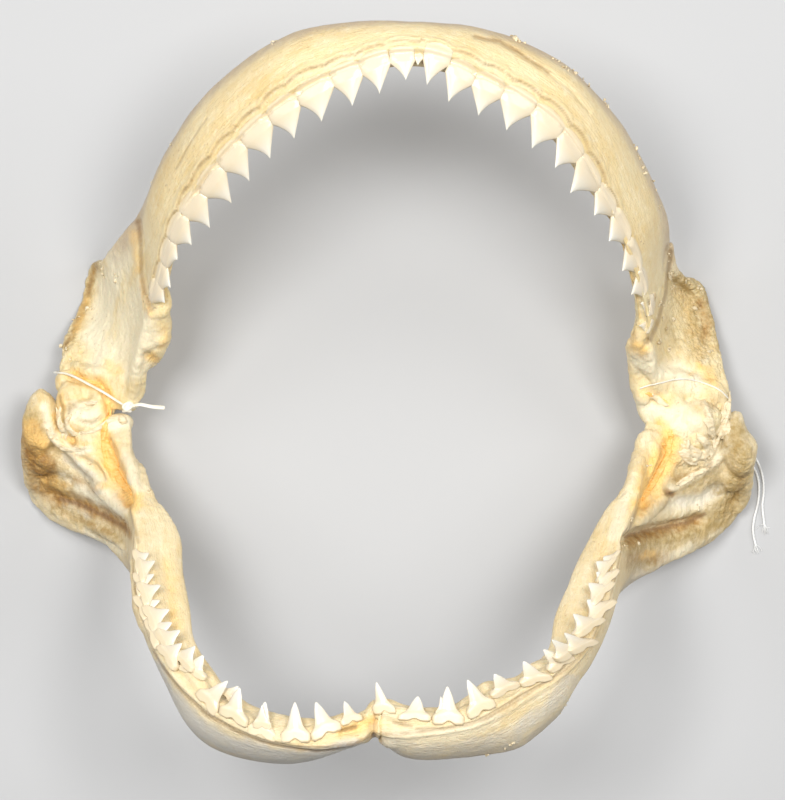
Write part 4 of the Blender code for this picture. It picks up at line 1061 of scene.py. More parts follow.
            (((-18.5, -128.3), (-13.2, -126.9), (-6.9, -125.2)), 0.75, 2.6),
            (((-122, -39), (-117, -38)), 0.5, 1.8),
            (((-140.5, -9), (-139, -15), (-134.5, -19.5), (-127, -21)), 0.55, 1.6),
            (((-90, -68), (-87, -80), (-83, -92)), 0.35, 3.0),
            (((-6.2, -124), (-6.2, -134)), 0.6, 1.6),
        ],
        "brownStainAndShade": [
            (((-153, -18), (-151.5, -26), (-149, -34), (-147, -40), (-141, -43)), 0.95, 5.0),
            (((-150, -15), (-149, -20)), 0.9, 3.6), (((-149, -24), (-146, -30), (-145, -36)), 0.85, 4.6),
            (((-146, -40.5), (-137, -43.8), (-128.0, -47.4), (-119.0, -51.6), (-109, -56)), 0.95, 2.9),
            (((-122, -50.0), (-115, -53.3), (-107, -57)), 0.9, 2.6),
            (((-146, -46.5), (-138, -51), (-128, -54.5), (-118, -59)), 0.28, 2.6),
            (((-134, -19), (-133, -21)), 0.8, 1.6), (((-132, -37), (-124, -41)), 0.35, 2.6),
        ],
        "olive": [(((-150, -12), (-149, -22), (-147, -34), (-140, -41)), 0.9, 6.0),
                  (((-143, -24), (-140, -31), (-134, -38)), 0.45, 4.0),
                  (((-128, -32), (-121, -39)), 0.35, 2.6),
                  (((-142, -49), (-130, -54), (-114, -61)), 0.65, 3.2)],
        "creaseShade": [
            (((-140, -44.9), (-131, -47.0), (-122, -50.4), (-109, -56.8)), 0.75, 1.2),
            (((-92.4, -101.3), (-87.3, -107.2), (-80, -115.3), (-70, -123.4), (-59.4, -128.5),
              (-48.3, -132.7),
              (-37.4, -134.6), (-28, -136.2), (-16, -134.8), (-8.4, -131.0)), 0.6, 0.8),
            (((-18.5, -128.3), (-13.2, -126.9)), 0.7, 1.2),
            (((-111, -40), (-105, -50), (-101, -60)), 0.4, 0.9),
            (((-5.8, -123), (-6.2, -129), (-5.6, -136)), 0.6, 0.9),
        ],
        "grey": [
            (((-92, -108), (-86, -117), (-76, -128), (-62, -134.5), (-46, -138.5), (-30, -140),
              (-14, -136.5)), 1.0, 5.4),
            (((-136, -27), (-128, -33), (-122, -40)), 0.5, 3.4), (((-138, -46), (-128, -50)), 0.4, 4.0),
        ],
        "paleAndHighlight": [
            (((-144.5, -5), (-143, -14), (-139, -20.6), (-131.7, -24.8), (-124.6, -23.5)), 0.85, 2.4),
            (((-130, -30), (-123.6, -36), (-116, -43.3), (-110, -48)), 0.7, 2.8),
            (((-138, -36), (-129, -41), (-121, -45.5), (-113, -50)), 0.9, 3.6),
            (((-128, -60), (-112, -66)), 0.6, 2.6), (((-110, -27), (-102, -41)), 0.7, 3.4),
            (((-118, -14), (-110, -12)), 0.8, 3.0),
        ],
        "rough": [(((-152, -22), (-148, -36), (-141, -43)), 0.7, 6.0), (((-138, -46), (-125, -50)), 0.5, 4.0),
                  (((-140, -8), (-136, -18), (-128, -22)), 0.6, 4.0)],
    },
    "lower_right": {
        "push": [((151.5, -12), (-3.4, -3.6), 7.5), ((92.5, -40.5), (2.6, -0.5), 12),
                 ((45, -106), (1.0, -4.0), 8), ((59, -98), (3.6, -2.4), 8), ((6, -137), (0, -1.8), 13)],
        "blobs": [((147.7, -20.8, 23.5), (7.2, 14.5, 8.5)), ((144.5, -33.5, 16.5), (7.0, 8.0, 6.5)),
                  ((0.5, -129.5, 135.0), (6.5, 5.5, 6.0))],
        "ridges": [
            (((144.5, -10.5, 24), (146.8, -17.5, 26.0), (148.4, -25.8, 24.5), (149.2, -34.4, 17),
              (150.0, -42.6, 8.5),
              (147.5, -49.5, 5)), 4.4),
            (((141.8, -12.8, 26), (142.6, -16.2, 28), (142.4, -20.4, 28.0), (140.4, -24.7, 25.0),
              (136.6, -28.1, 24.0),
              (131.8, -32.0, 25.0), (127.5, -35.1, 26.3), (122.3, -38, 29.0), (117.4, -40.6, 31.5)), 2.5),
            (((117.4, -40.6, 32.0), (112.6, -44.5, 35.5), (106, -49.2, 43.5), (99.7, -53.7, 60)), 3.6),
            (((103.9, -24.0, 39.0), (106.8, -18.9, 36.6), (111.6, -18.0, 34.5)), 3.2),
            (((106.3, -20.2, 36.5), (103.9, -25.4, 39.5), (100.9, -32.2, 48.5), (97.1, -38.2, 55),
              (93.5, -44, 60.5)), 3.4),
            (((150, -47.0, 3.2), (138.2, -59.2, 9), (126.3, -65.2, 16.5), (112.8, -70.4, 29),
              (98.5, -76.5, 50)), 2.4),
            (((119, -25, 31), (126, -28, 29), (133, -29, 25.5)), 2.6),
            (((110.5, -22, 38), (109.5, -28, 40), (107, -34, 43.0)), 2.6),
        ],
        "carve": [
            (((116.4, -20.5), (115.9, -26.2), (113.2, -31.3), (110.1, -36.6), (107, -41.2), (103.5, -45)),
             3.4, 2.4),
            (((96.5, -59), (106.1, -57.7), (116, -56.3), (125, -55), (131, -53.5)), 4.6, 2.6),
            (((-4.5, -128.0), (10.1, -127.9), (21.8, -127.6), (32.1, -125.6), (43.2, -120.4), (51.4, -115.4),
              (62, -110.9), (68.1, -105.5), (76.8, -98.0)), 0.8, 0.8),
            (((121.5, -45.5), (127, -46.5), (133, -44.5), (137.4, -40.9)), 2.2, 3.6),
            (((115.5, -41.2), (118.4, -42.6)), 1.6, 1.4),
            (((88, -62), (83.5, -72), (78, -82)), 1.4, 3.2), (((121, -31), (127, -31.5)), 1.4, 1.6),
            (((-5.4, -122), (-5.6, -129), (-5.0, -137)), 2.2, 1.7),
        ],
        "amber": [
            (((117, -18.5), (116.4, -25), (113.6, -31.0), (110.4, -36.6), (107, -41.4), (103.2, -45.4)),
             1.1, 4.6),
            (((111, -27), (108, -33), (104.5, -40)), 1.0, 5.6),
            (((113, -20), (117, -24)), 0.6, 3.0), (((105, -67), (110, -66)), 0.5, 2.2),
            (((108, -26), (106, -34)), 0.3, 3.0), (((86, -66), (80, -80)), 0.3, 3.0),
            (((-4.5, -124), (-4.5, -133)), 0.6, 1.6),
        ],
        "brownStainAndShade": [
            (((148.5, -34), (147.4, -42), (144.1, -50)), 0.3, 3.2),
            (((98, -60.8), (107, -59.4), (116, -57.4), (124.1, -55.2), (129, -53.5)), 0.8, 2.6),
            (((97, -66.8), (105.7, -67.2), (115.3, -68.6)), 0.45, 3.4),
            (((115, -41.2), (118.4, -42.6)), 0.8, 1.8),
            (((119, -36), (127, -33), (134, -30)), 0.35, 3.0), (((111, -47), (120, -43)), 0.3, 2.4),
        ],
        "olive": [
            (((144, -16), (147, -26), (147, -36)), 0.85, 6.5),
            (((146, -36), (146, -46), (141, -53), (132, -58)), 0.85, 7.0),
            (((136, -36), (141, -44)), 0.6, 4.0),
            (((98, -63), (110, -62.5), (122, -60.5), (134, -56)), 0.8, 4.0),
            (((99, -70), (110, -69)), 0.7, 4.0), (((117, -33), (124, -37), (132, -35)), 0.5, 5.0),
        ],
        "creaseShade": [
            (((96.5, -59), (108.1, -57.4), (118.2, -56), (127.0, -54.0), (133, -51)), 0.7, 1.0),
            (((10.1, -127.9), (21.8, -127.6), (32.1, -125.6), (43.2, -120.4), (51.4, -115.4),
              (62, -110.9), (68.1, -105.5)), 0.45, 0.7),
            (((115.5, -41.2), (118.4, -42.6)), 0.7, 1.2), (((103, -45), (99, -51), (96, -58)), 0.4, 0.9),
            (((-5.2, -123), (-5.4, -129), (-5.0, -136)), 0.6, 0.9), (((1, -125.5), (8, -127)), 0.5, 0.8),
        ],
        "grey": [
            (((122.3, -46), (130.7, -45), (137.5, -40.7)), 0.4, 4.0),
            (((-2, -135), (11.5, -137), (30.7, -136), (46.2, -132.7), (60, -122.6), (70, -112.2)), 0.6, 4.5),
        ],
        "paleAndHighlight": [
            (((141.5, -14), (142, -21), (136.5, -28.5), (127.5, -35.4), (118, -40.5)), 0.7, 2.4),
            (((2, -131), (20, -131), (40, -126)), 0.5, 4.0), (((109, -22), (108, -30), (105, -37)), 0.7, 3.0),
            (((140, -59), (125, -66), (108, -72)), 0.6, 2.6), (((101, -34), (95, -46), (90, -58)), 0.6, 3.0),
            (((120, -47), (131, -46), (138, -41)), 0.9, 4.5),
        ],
        "rough": [(((147, -24), (148, -40), (143, -51)), 0.7, 6.5), (((97, -60), (124, -54)), 0.6, 5.0),
                  (((119, -26), (127, -30), (134, -29)), 0.9, 4.5)],
    },
}

# How far each effect lifts or sinks the surface, with the size of its lumps where it has lumps, and
# where the gum line runs: bedDepth below the tooth edge, scallop deeper over the middle of a tooth.
cartilageRelief = {
    "voxel": 0.80 * mm, "smoothing": 3, "warp": 6 * mm, "undulation": (0.28 * mm, 14 * mm),
    "ripple": (0.10 * mm, 2.2 * mm), "wrinkle": (0.95 * mm, 5 * mm, 2.6 * mm), "wave": (0.35 * mm, 9 * mm),
    # lipLine is the strength of the painted shade line along the gum line
    "crust": (0.9 * mm, 2.4 * mm, 5 * mm), "lip": 0.55 * mm, "lipLine": 0.75, "bed": 0.6 * mm,
    "bedDepth": {"upper": 1.5 * mm, "lower": 0.2 * mm}, "scallop": {"upper": 1.2 * mm, "lower": 0.0},
    "slim": {"left": 1.0 * mm, "right": 3.0 * mm}, "slimStretch": (0.095, 0.182), "slimDepth": 12 * mm,
    # how far along the joint wrinkles start, and the strength of the painted shade on the outer edges
    "jointFrom": 0.72, "edgeShade": 0.8,
}
fadingStrokes = ("amber", "brownStainAndShade", "olive")


def strokeMask(points, strokes, warp, fading=False):
    # fading strokes run out slowly to both sides, the others have a clear edge
    total = np.zeros(len(points))
    for line, strength, width in strokes:
        gap = nearLine(points[:, :2] + warp[:, :2] * width * mm * 0.5, np.array(line) * mm)
        gap = gap / (width * mm)
        shape = np.exp(-gap ** 2) if fading else softStep(1.25 - gap)
        total = np.maximum(total, strength * shape)
    return total


def lipOf(corners):
    # way out of a tooth's outer face, which always looks up in this jaw
    tip, mesial, distal = corners
    lip = unit(np.cross(distal - mesial, tip - (mesial + distal) / 2))
    return lip if lip[2] > 0 else -lip


def bedLine(half, distance):
    # depth of the gum line below the tooth edge, in an arch over each tooth
    corners = np.array([place[1] for place in toothSetup["places"][half.key]]) * mm
    notches = np.sort(half.fromWorld(corners)[0])
    number = np.interp(distance, notches, np.arange(len(notches)))
    arch = np.sin(math.pi * (number % 1.0)) ** 0.8
    return cartilageRelief["bedDepth"][half.jaw] + cartilageRelief["scallop"][half.jaw] * arch


def gumParts(half):
    # dried gum round the lower roots and the folded skin behind them
    parts = []
    for number, (up, sunk, radius) in enumerate(gumSetup["tubes"]):
        route = []
        for corners in toothSetup["places"][half.key]:
            tip, mesial, distal = (np.array(corner) * mm for corner in corners)
            middle = (mesial + distal) / 2
            route.append(middle + up * (tip - middle) - sunk * lipOf((tip, mesial, distal)))
        route = curveThrough(route, samples=10)
        bumps = 1 + gumSetup["bumps"] * (1 + number) * softNoise(route, gumSetup["bumpSize"], 61 + number)
        parts.append(tubeParts(route, radius * bumps, sides=14))
    return parts


def bareHalf(half, detail):
    # the half jaw before its relief: its shell, knobs, ridges and gum under one skin
    parts = [half.shell()]
    for centre, radii in detail["blobs"]:
        parts.append(blobParts(np.array(centre) * mm, np.array(radii) * mm))
    for line, radius in detail["ridges"]:
        route = evenly(curveThrough(np.array(line) * mm, samples=12), 30)
        ends = np.sin(np.linspace(0.35, math.pi - 0.35, 30)) ** 0.4
        parts.append(tubeParts(route, radius * mm * ends, sides=12))
    if half.jaw == "lower":
        parts += gumParts(half)
    return skinOver(f"cartilage_{half.key}", meshFrom(half.key, parts), cartilageRelief["voxel"],
                    cartilageRelief["smoothing"])


def gumRelief(half, distance, out, deep, share, bed, inRow):
    # a lip along the gum line and, in the upper jaw, the sunken bed that the roots lie in
    outward = out > -0.35 * half.value("bar", share)
    lip = np.exp(-((deep - bed - 1.2 * mm) / (1.0 * mm)) ** 2) * outward
    lift = cartilageRelief["lip"] * lip * inRow
    if half.jaw == "lower":
        return lift
    lift = lift - cartilageRelief["bed"] * softStep((bed + 0.3 * mm - deep) / (0.7 * mm)) * outward * inRow
    # the inner side is slimmer along one stretch, where the mouth opening is wider
    first, last = cartilageRelief["slimStretch"]
    slim = softStep((distance - first) / 0.03) * softStep((last - distance) / 0.01)
    slim = slim * softStep((-out / half.value("bar", share) - 0.05) / 0.4)
    return lift - cartilageRelief["slim"][half.side] * slim * softStep(
        (cartilageRelief["slimDepth"] - deep) / 0.006)


def reliefOf(points, grain, rough, joint):
    # slow undulation, fine ripples along the grain, wrinkles near the joint and crust where it is rough
    height, size = cartilageRelief["undulation"]
    lift = height * layeredNoise(points, size, 21)
    height, size = cartilageRelief["ripple"]
    lift = lift + height * layeredNoise(grain * np.array([0.12, 1, 1]), size, 31)
    height, size, fineSize = cartilageRelief["wrinkle"]
    wrinkle = 0.5 - np.abs(layeredNoise(points * np.array((1, 0.6, 1)), size, 35))
    wrinkle = wrinkle + 0.5 * (0.5 - np.abs(layeredNoise(points, fineSize, 37)))
    lift = lift + height * joint * wrinkle
    height, size, wideSize = cartilageRelief["crust"]
    crumbs = np.abs(layeredNoise(points, size, 51)) + 0.5 * layeredNoise(points, wideSize, 55)
    return lift + height * rough * crumbs


def addCartilage(half):
    detail = cartilageDetail[half.key]
    mesh = bareHalf(half, detail)
    points, normals = meshPoints(mesh)
    distance, out, deep = half.fromWorld(points)
    grain = np.stack([distance, out, deep], 1)
    share = distance / half.length
    warp = np.stack([layeredNoise(points, cartilageRelief["warp"], seed) for seed in (11, 12, 13)], 1)
    up = softStep(normals[:, 2] * 3 + 0.6)  # strokes fade out on the sides and leave the underside
    rough = strokeMask(points, detail["rough"], warp)
    height, size = cartilageRelief["wave"]
    wave = height * softNoise(np.stack([distance, distance * 0, distance * 0], 1), size, 41)
    bed = bedLine(half, distance) + wave
    inRow = softStep((toothSetup["rowEnd"][half.key] + 0.004 - distance) / 0.004)
    lift = reliefOf(points, grain, rough, softStep((share - cartilageRelief["jointFrom"]) / 0.08))
    lift = lift + gumRelief(half, distance, out, deep, share, bed, inRow)
    for line, depth, width in detail["carve"]:
        gap = nearLine(points[:, :2] + warp[:, :2] * width * mm * 0.25, np.array(line) * mm)
        lift = lift - depth * mm * np.exp(-(gap / (width * mm)) ** 2) * up
    points = points + normals * lift[:, None]
    for centre, shift, size in detail["push"]:
        gap = np.linalg.norm(points[:, :2] - np.array(centre) * mm, axis=1) / (size * mm)
        points[:, :2] += np.exp(-gap ** 2)[:, None] * np.array(shift) * mm
    points[:, 2] = np.maximum(points[:, 2], 0.2 * mm)
    setPoints(mesh, points)
    masks = {name: strokeMask(points, detail.get(name, []), warp, name in fadingStrokes) * up
             for name in ("amber", "brownStainAndShade", "olive", "grey", "paleAndHighlight", "creaseShade")}
    fade = 0.72 + 0.28 * softNoise(points, 3 * mm, 63)
    # painted shade: a thin dark line along the gum line, broken up by noise
    gumLine = np.exp(-((deep - bed - 0.1 * mm) / (0.45 * mm)) ** 2) * (out > -0.35 * half.value("bar", share))
    masks["creaseShade"] = np.maximum(masks["creaseShade"], cartilageRelief["lipLine"] * gumLine * inRow * fade)
    masks["rough"] = rough
    # painted shade: darker towards the outer edge of each face, fading out toward the joint
    reach = deep / half.value("depth", share)
    masks["edgeShade"] = cartilageRelief["edgeShade"] * softStep((reach - 0.55) / 0.45) * softStep((0.86 - share) / 0.14)
    for name, mask in masks.items():
        setMask(mesh, name, mask)
    setVectors(mesh, "grain", grain)
    return addPiece(f"cartilage_{half.key}", mesh, cartilageMaterial[half.jaw],
                    [f"{half.jaw}_jaw_{half.side}"])


def topOf(tree, x, y):
    # height of the surface that a plumb line at (x, y) meets first, or None
    hit = tree.ray_cast(Vector((x, y, 0.3)), Vector((0, 0, -1)))[0]
    return None if hit is None else hit.z


def upperOutline(z):
    # left and right edge of an upper tooth, which leans toward the joint
    crown = np.clip(z, 0, 1)
    blunt = toothSetup["blunt"] * np.sqrt(np.clip(1 - crown, 0, 1))
    return -0.5 * (1 - crown) ** 1.05 - blunt, 0.5 * (1 - crown) ** 1.65 + blunt


def toothParts(jaw, corners, lip, rootRun, outline, tree, rows=46, columns=21):
    # a shell of two sheets stretched over the tooth's three points
    tip, mesial, distal = corners
    middle, run = (mesial + distal) / 2, distal - mesial
    width, height = np.linalg.norm(run), np.linalg.norm(tip - middle)
    u = np.linspace(-1, 1, columns)
    u = (0.7 * u + 0.3 * np.sin(u * math.pi / 2))[None, :]  # columns crowd toward the cutting edges
    if jaw == "upper":
        roots = np.linspace(1, 0, toothSetup["rootRows"], endpoint=False)
        z = np.concatenate([-roots, np.linspace(0, 1, rows)])[:, None]
        left, right = (side * toothSetup["overlap"] for side in upperOutline(z))
        crown, root = np.clip(z, 0, 1), np.clip(-z, 0, 1)
        bottom = 0
    else:
        z = np.linspace(0, 1, rows + 8)[:, None]
        right = profile(toothSetup[outline], z)
        left = -right
        crown, root = np.clip((z - 0.34) / 0.66, 0, 1), np.clip(1 - z / 0.42, 0, 1)
        reach, span = toothSetup["arch"]
        x = left + (right - left) * (u + 1) / 2
        bottom = reach * np.cos(np.clip(x / span, -1, 1) * math.pi / 2) ** 2
        bottom = bottom * np.clip(1 - z / 0.5, 0, 1) ** 2
    teethOfSaw = toothSetup["saw"] * (np.arange(len(z)) % 2)[:, None] * (crown > 0.02) * (crown < 0.95)
    left, right = left - teethOfSaw, right + teethOfSaw
    x = left + (right - left) * (u + 1) / 2
    rise = z + bottom + 0 * x
    # the crown's cross-section is a lens with sharp edges, and the root's is plump
    lens = (1 - np.abs(u) ** 2.4) ** 0.8
    plump = (1 - np.abs(u) ** 6) ** 0.5
    body = (1 - crown) ** 0.7
    full = lens + (plump - lens) * softStep(root / 0.35)
    close = np.sqrt(np.clip((z - z[0]) / 0.05, 0, 1)) if jaw == "lower" else 1 + 0 * z
    taper = 1 - 0.5 * root if jaw == "upper" else 1 + 0.15 * softStep(root / 0.4)
    thickness = body * full * close * taper
    rise = rise[..., None]
    upward = np.where(rise < 0, -rise * rootRun, rise * (tip - middle))
    curve = -toothSetup["bend"] * height * crown ** 2 + 0 * x
    vertices = []
    for side, share in zip((1, -1), toothSetup["thick"][jaw]):
        y = side * thickness * share * width + curve
        vertices.append(middle + x[..., None] * run + upward + y[..., None] * lip)
    rowCount, count = x.shape
    if jaw == "upper":
        # the root lies on the cartilage and sinks into it at its end
        share = root / (0.93 - 0.30 * u ** 2)
        proud = toothSetup["rootProud"] * (1 - np.clip(share, 0, 1.4) ** 4)
        for j, k in np.argwhere((root + 0 * u > 0.02)):
            top = topOf(tree, *vertices[0][j, k, :2])
            if top is not None:
                held = top + proud[j, k]
                low = vertices[0][j, k, 2]
                vertices[0][j, k, 2] = max(held, low) if share[j, k] < 0.6 else held
    # the two sheets share their borders, but for the upper root's end, which gets a face of its own
    front = np.arange(rowCount * count).reshape(rowCount, count)
    back = front + rowCount * count
    back[:, 0], back[:, -1], back[-1] = front[:, 0], front[:, -1], front[-1]
    if jaw == "lower":
        back[0] = front[0]
    faces = []
    for j in range(rowCount - 1):
        for k in range(count - 1):
            faces.append((front[j, k], front[j, k + 1], front[j + 1, k + 1], front[j + 1, k]))
            faces.append((back[j, k], back[j + 1, k], back[j + 1, k + 1], back[j, k + 1]))
    if jaw == "upper":
        faces.append(tuple(front[0])[::-1] + tuple(back[0, 1:-1]))
        tint, socket = 0.55 * softStep((root - 0.30) / 0.70), 0.8 * softStep((root - 0.78) / 0.2)
    else:
        tint, socket = 0.35 * softStep(root / 0.5), 0.4 * softStep((root - 0.8) / 0.2)
    masks = {"root": tint, "low": 1 - crown, "socket": socket}
    return np.vstack([v.reshape(-1, 3) for v in vertices]), faces, {
        key: np.tile((mask + 0 * x).ravel(), 2) for key, mask in masks.items()}


def toothMesh(name, teeth):
    # leaves out the second copy of each shared border
    parts, masks = [], {"root": [], "low": [], "socket": []}
    for vertices, faces, toothMasks in teeth:
        faces = [tuple(dict.fromkeys(face)) for face in faces]
        faces = [face for face in faces if len(face) > 2]
        used = np.unique(np.concatenate([np.array(face) for face in faces]))
        renumber = np.zeros(len(vertices), int)
        renumber[used] = np.arange(len(used))
        parts.append((vertices[used], [tuple(renumber[list(face)]) for face in faces]))
        for key in masks:
            masks[key].append(toothMasks[key][used])
    mesh = meshFrom(name, parts)
    for key in masks:
        setMask(mesh, key, np.concatenate(masks[key]))
    return mesh


def seatOn(tree, point, clear):
    # lifts a point that is under the cartilage to just above it
    top = topOf(tree, point[0], point[1])
    if top is None or top + clear < point[2]:
        return point
    return np.array((point[0], point[1], top + clear))


def addTeeth(half, cartilage):
    tree = BVHTree.FromObject(cartilage, bpy.context.evaluated_depsgraph_get())
    row = [*toothSetup["places"][half.key], *toothSetup["behind"].get(half.key, ())]
    if half.jaw == "lower":
        last = toothSetup["places"][half.key][toothSetup["foldedFrom"][half.key] - 1:]
        for first, second in zip(last, last[1:]):
            between = (np.array(first) + np.array(second)) / 2
            inward = unit(between[0] - (between[1] + between[2]) / 2)
            between = between + inward * toothSetup["inward"] - np.array((0, 0, toothSetup["lower"]))
            row.append(between)
    teeth = []
    for number, corners in enumerate(row):
        tip, mesial, distal = (np.array(corner) * mm for corner in corners)
        folded = number >= toothSetup["foldedFrom"].get(half.key, 99)
        if half.jaw == "lower":
            if folded:
                # raised until all but one of seven points along its base are clear of the cartilage
                spread = [mesial + share * (distal - mesial) for share in np.linspace(0, 1, 7)]
                gaps = sorted(seatOn(tree, point, toothSetup["clear"])[2] - point[2] for point in spread)
                tip, mesial, distal = (point + np.array((0, 0, gaps[5])) for point in (tip, mesial, distal))
            lifted = [seatOn(tree, point, toothSetup["clear"]) for point in (mesial, distal)]
            rise = (lifted[0][2] - mesial[2] + lifted[1][2] - distal[2]) / 2
            tip = tip + np.array((0, 0, 0.5 * rise))
            mesial, distal = lifted
        lip = lipOf((tip, mesial, distal))
        growth = unit(np.cross(unit(distal - mesial), lip))
        growth = growth if growth @ (tip - mesial) > 0 else -growth
        rootRun = min(toothSetup["rootRun"], toothSetup["rootShare"] * np.linalg.norm(distal - mesial))
        rootRun = -unit(growth + toothSetup["rootLean"] * lip) * rootRun
        teeth.append(toothParts(half.jaw, (tip, mesial, distal), lip, rootRun,
                                "folded" if folded else "standing", tree))
    return addPiece(f"teeth_{half.key}", toothMesh(f"teeth_{half.key}", teeth), toothMaterial)


trees, pieces = [], {}
for half in halves.values():
    cartilage = pieces[half.key] = addCartilage(half)
    bpy.context.view_layer.update()
    addTeeth(half, cartilage)
    trees.append(BVHTree.FromObject(cartilage, bpy.context.evaluated_depsgraph_get()))
    print("half jaw", half.key, len(cartilage.data.vertices), "points")


# Strands lie along lines of (x, y, z) in millimetres: line, radius, count, spread. In "laid"
# they stick to the cartilage, in "hung" they may bridge a gap at their own height.
tissueSetup = {
    "left": {
        "amber": {
            "laid": [
                (((-118.0, -4, 0), (-118.6, -12, 0), (-119.6, -20, 0), (-117.8, -27, 0), (-114.4, -33, 0),
                  (-110.6, -38.6, 0), (-106.0, -43.5, 0)), 0.95, 4, 1.3),
                (((-132.5, 8.5, 0), (-127.0, 5.4, 0), (-121.5, 3.6, 0), (-118.2, -1.5, 0)), 0.7, 3, 0.9),
                (((-119.2, -18, 0), (-116.8, -24, 0), (-113.2, -30.5, 0)), 1.1, 2, 0.6),
            ],
            "hung": [],
        },
        "white": {
            "laid": [
                (((-139.3, -4.9, 0), (-138.4, -10.4, 0), (-136.4, -15.4, 0), (-137.0, -19.6, 0)), 1.0, 4,
                 1.5),
                (((-144.5, -12, 0), (-141.5, -18.5, 0), (-136.5, -22.5, 0), (-130, -23.0, 0),
                  (-124.5, -21.8, 0)), 0.8, 4, 1.2),
                (((-132.1, -16.6, 0), (-126.4, -16.4, 0), (-121.4, -14.5, 0), (-117.4, -11.6, 0),
                  (-111.2, -9.8, 0)), 0.6, 4, 0.9),
                (((-113.5, -9.5, 0), (-110.5, -12.5, 0)), 1.5, 3, 1.2),
                (((-133, -8, 0), (-134.5, -13, 0), (-131, -18, 0)), 1.1, 3, 1.2),
                (((-129.8, -3.2, 0), (-126, -4.4, 0), (-122, -3.4, 0)), 0.8, 3, 1.0),
            ],
            "hung": [],
        },
    },
    "right": {
        "amber": {
            "laid": [
                (((117.5, -15, 0), (116.8, -21.5, 0), (116.0, -26.2, 0), (113.3, -31.3, 0), (110.2, -36.6, 0),
                  (107.2, -41.0, 0), (103.7, -45, 0)), 0.85, 4, 1.0),
                (((105.8, 1.0, 0), (110.7, -1.3, 0), (116.6, -3.8, 0)), 0.6, 3, 0.8),
                (((113, -20.5, 0), (117.5, -24.5, 0)), 0.9, 2, 0.7),
            ],
            "hung": [],
        },
        "white": {
            "laid": [
                (((122.4, -19.5, 0), (125.5, -23.7, 0), (129.9, -25.9, 0), (133.6, -28.9, 0)), 1.2, 5, 1.9),
                (((121.1, -22.8, 0), (124.7, -27.1, 0), (129.1, -28.8, 0)), 1.1, 4, 1.5),
                (((127.3, -17.5, 0), (131.5, -20.5, 0), (134.5, -25.5, 0)), 1.2, 4, 1.8),
                (((134, -31.5, 0), (127, -34.5, 0), (119.5, -38.5, 0)), 0.9, 4, 1.4),
            ],
            "hung": [
                (((141.7, -1.5, 26.5), (140.6, -8.0, 28.5), (138.0, -14.6, 28.6), (135.6, -21.5, 28.0),
                  (133.6, -27.5, 27.5)), 0.75, 9, 2.6),
                (((143.0, 2.5, 20.0), (142.6, -5.5, 24.5), (141.8, -13.4, 27.0), (139.6, -19.8, 27.5)),
                 0.6, 7, 1.9),
                (((130.5, -2.5, 25.5), (132.5, -8.5, 29.0), (133.6, -14.5, 29.5), (133.8, -20, 28.5)),
                 0.8, 6, 2.2),
                (((108.5, -1.0, 29.5), (112.5, -2.5, 31.0), (116.5, -5.0, 32.0)), 1.3, 3, 1.4),
            ],
        },
    },
    "voxel": 0.36 * mm, "ends": 0.45, "knobs": 0.35 * mm,
}


def surfaceAt(x, y):
    # height of the jaw's upper side at (x, y), or -1 where there is none
    tops = [topOf(tree, x, y) for tree in trees]
    return max((top for top in tops if top is not None), default=-1.0)


def layOn(line, lift, laid, count=60):
    route = evenly(curveThrough(np.array(line, float) * mm, samples=12), count)
    ground = np.array([surfaceAt(x, y) for x, y, _ in route])
    found = ground > 0
    if laid and found.any():
        route[:, 2] = np.interp(np.arange(count), np.flatnonzero(found), ground[found]) + lift
    else:
        route[:, 2] = np.maximum(route[:, 2], ground + lift)
    for _ in range(6):
        route[1:-1, 2] = (route[:-2, 2] + 2 * route[1:-1, 2] + route[2:, 2]) / 4
    return route


def strandParts(route, radius, count, spread, seed):
    # loose strands that wander about a route
    rng = np.random.default_rng(seed)
    ahead = unit(np.gradient(route, axis=0))
    side = unit(np.cross(ahead, (0, 0, 1)))
    top = np.cross(side, ahead)
    along = np.linspace(0, 1, len(route))
    parts = []
    for _ in range(count):
        start = rng.uniform(0, math.tau)
        turns = rng.uniform(-0.8, 0.8)
        reach = rng.uniform(0.3, 1.0) * spread
        turn = start + math.tau * turns * along + 0.8 * softNoise(route + start, 4 * mm, seed + 7)
        swell = radius * rng.uniform(0.6, 1.25)
        swell = swell * (tissueSetup["ends"] + (1 - tissueSetup["ends"]) * np.sin(math.pi * along))
        strand = route + reach * (np.cos(turn)[:, None] * side + 0.35 * np.sin(turn)[:, None] * top)
        first = int(rng.uniform(0, 0.18) * len(route))
        last = len(route) - int(rng.uniform(0, 0.18) * len(route))
        parts.append(tubeParts(strand[first:last], swell[first:last], sides=8))
    return parts


def addTissue(side, kind, material, replaces):
    parts, seed = [], 100
    for laid in ("laid", "hung"):
        for line, radius, count, spread in tissueSetup[side][kind][laid]:
            seed += 1
            route = layOn(line, 0.15 * radius * mm, laid == "laid")
            parts += strandParts(route, radius * mm, count, spread * mm, seed)
    name = f"{kind}_tissue_{side}"
    mesh = skinOver(name, meshFrom(name, parts), tissueSetup["voxel"], 2)
    points, normals = meshPoints(mesh)
    knobs = layeredNoise(points, 1.6 * mm, 91)
    setPoints(mesh, points + normals * (tissueSetup["knobs"] * knobs)[:, None])
    return addPiece(name, mesh, material, replaces)


# crumbs left on the surface: half, where along it, where across it, clusters, size range
crumbSetup = [
    ("upper_right", (0.12, 0.85), (0.80, 1.05), 16, (0.25, 0.85)),
    ("upper_right", (0.80, 1.0), (0.2, 1.0), 12, (0.3, 0.9)),
    ("upper_left", (0.78, 1.0), (0.8, 1.0), 7, (0.3, 0.7)),
    ("upper_left", (0.2, 0.7), (0.9, 1.05), 3, (0.25, 0.5)),
    ("lower_left", (0.72, 1.0), (0.0, 1.0), 5, (0.2, 0.55)),
    ("lower_right", (0.70, 1.0), (0.0, 1.0), 8, (0.25, 0.6)),
    ("lower_right", (0.15, 0.5), (0.8, 1.05), 4, (0.25, 0.5)),
]


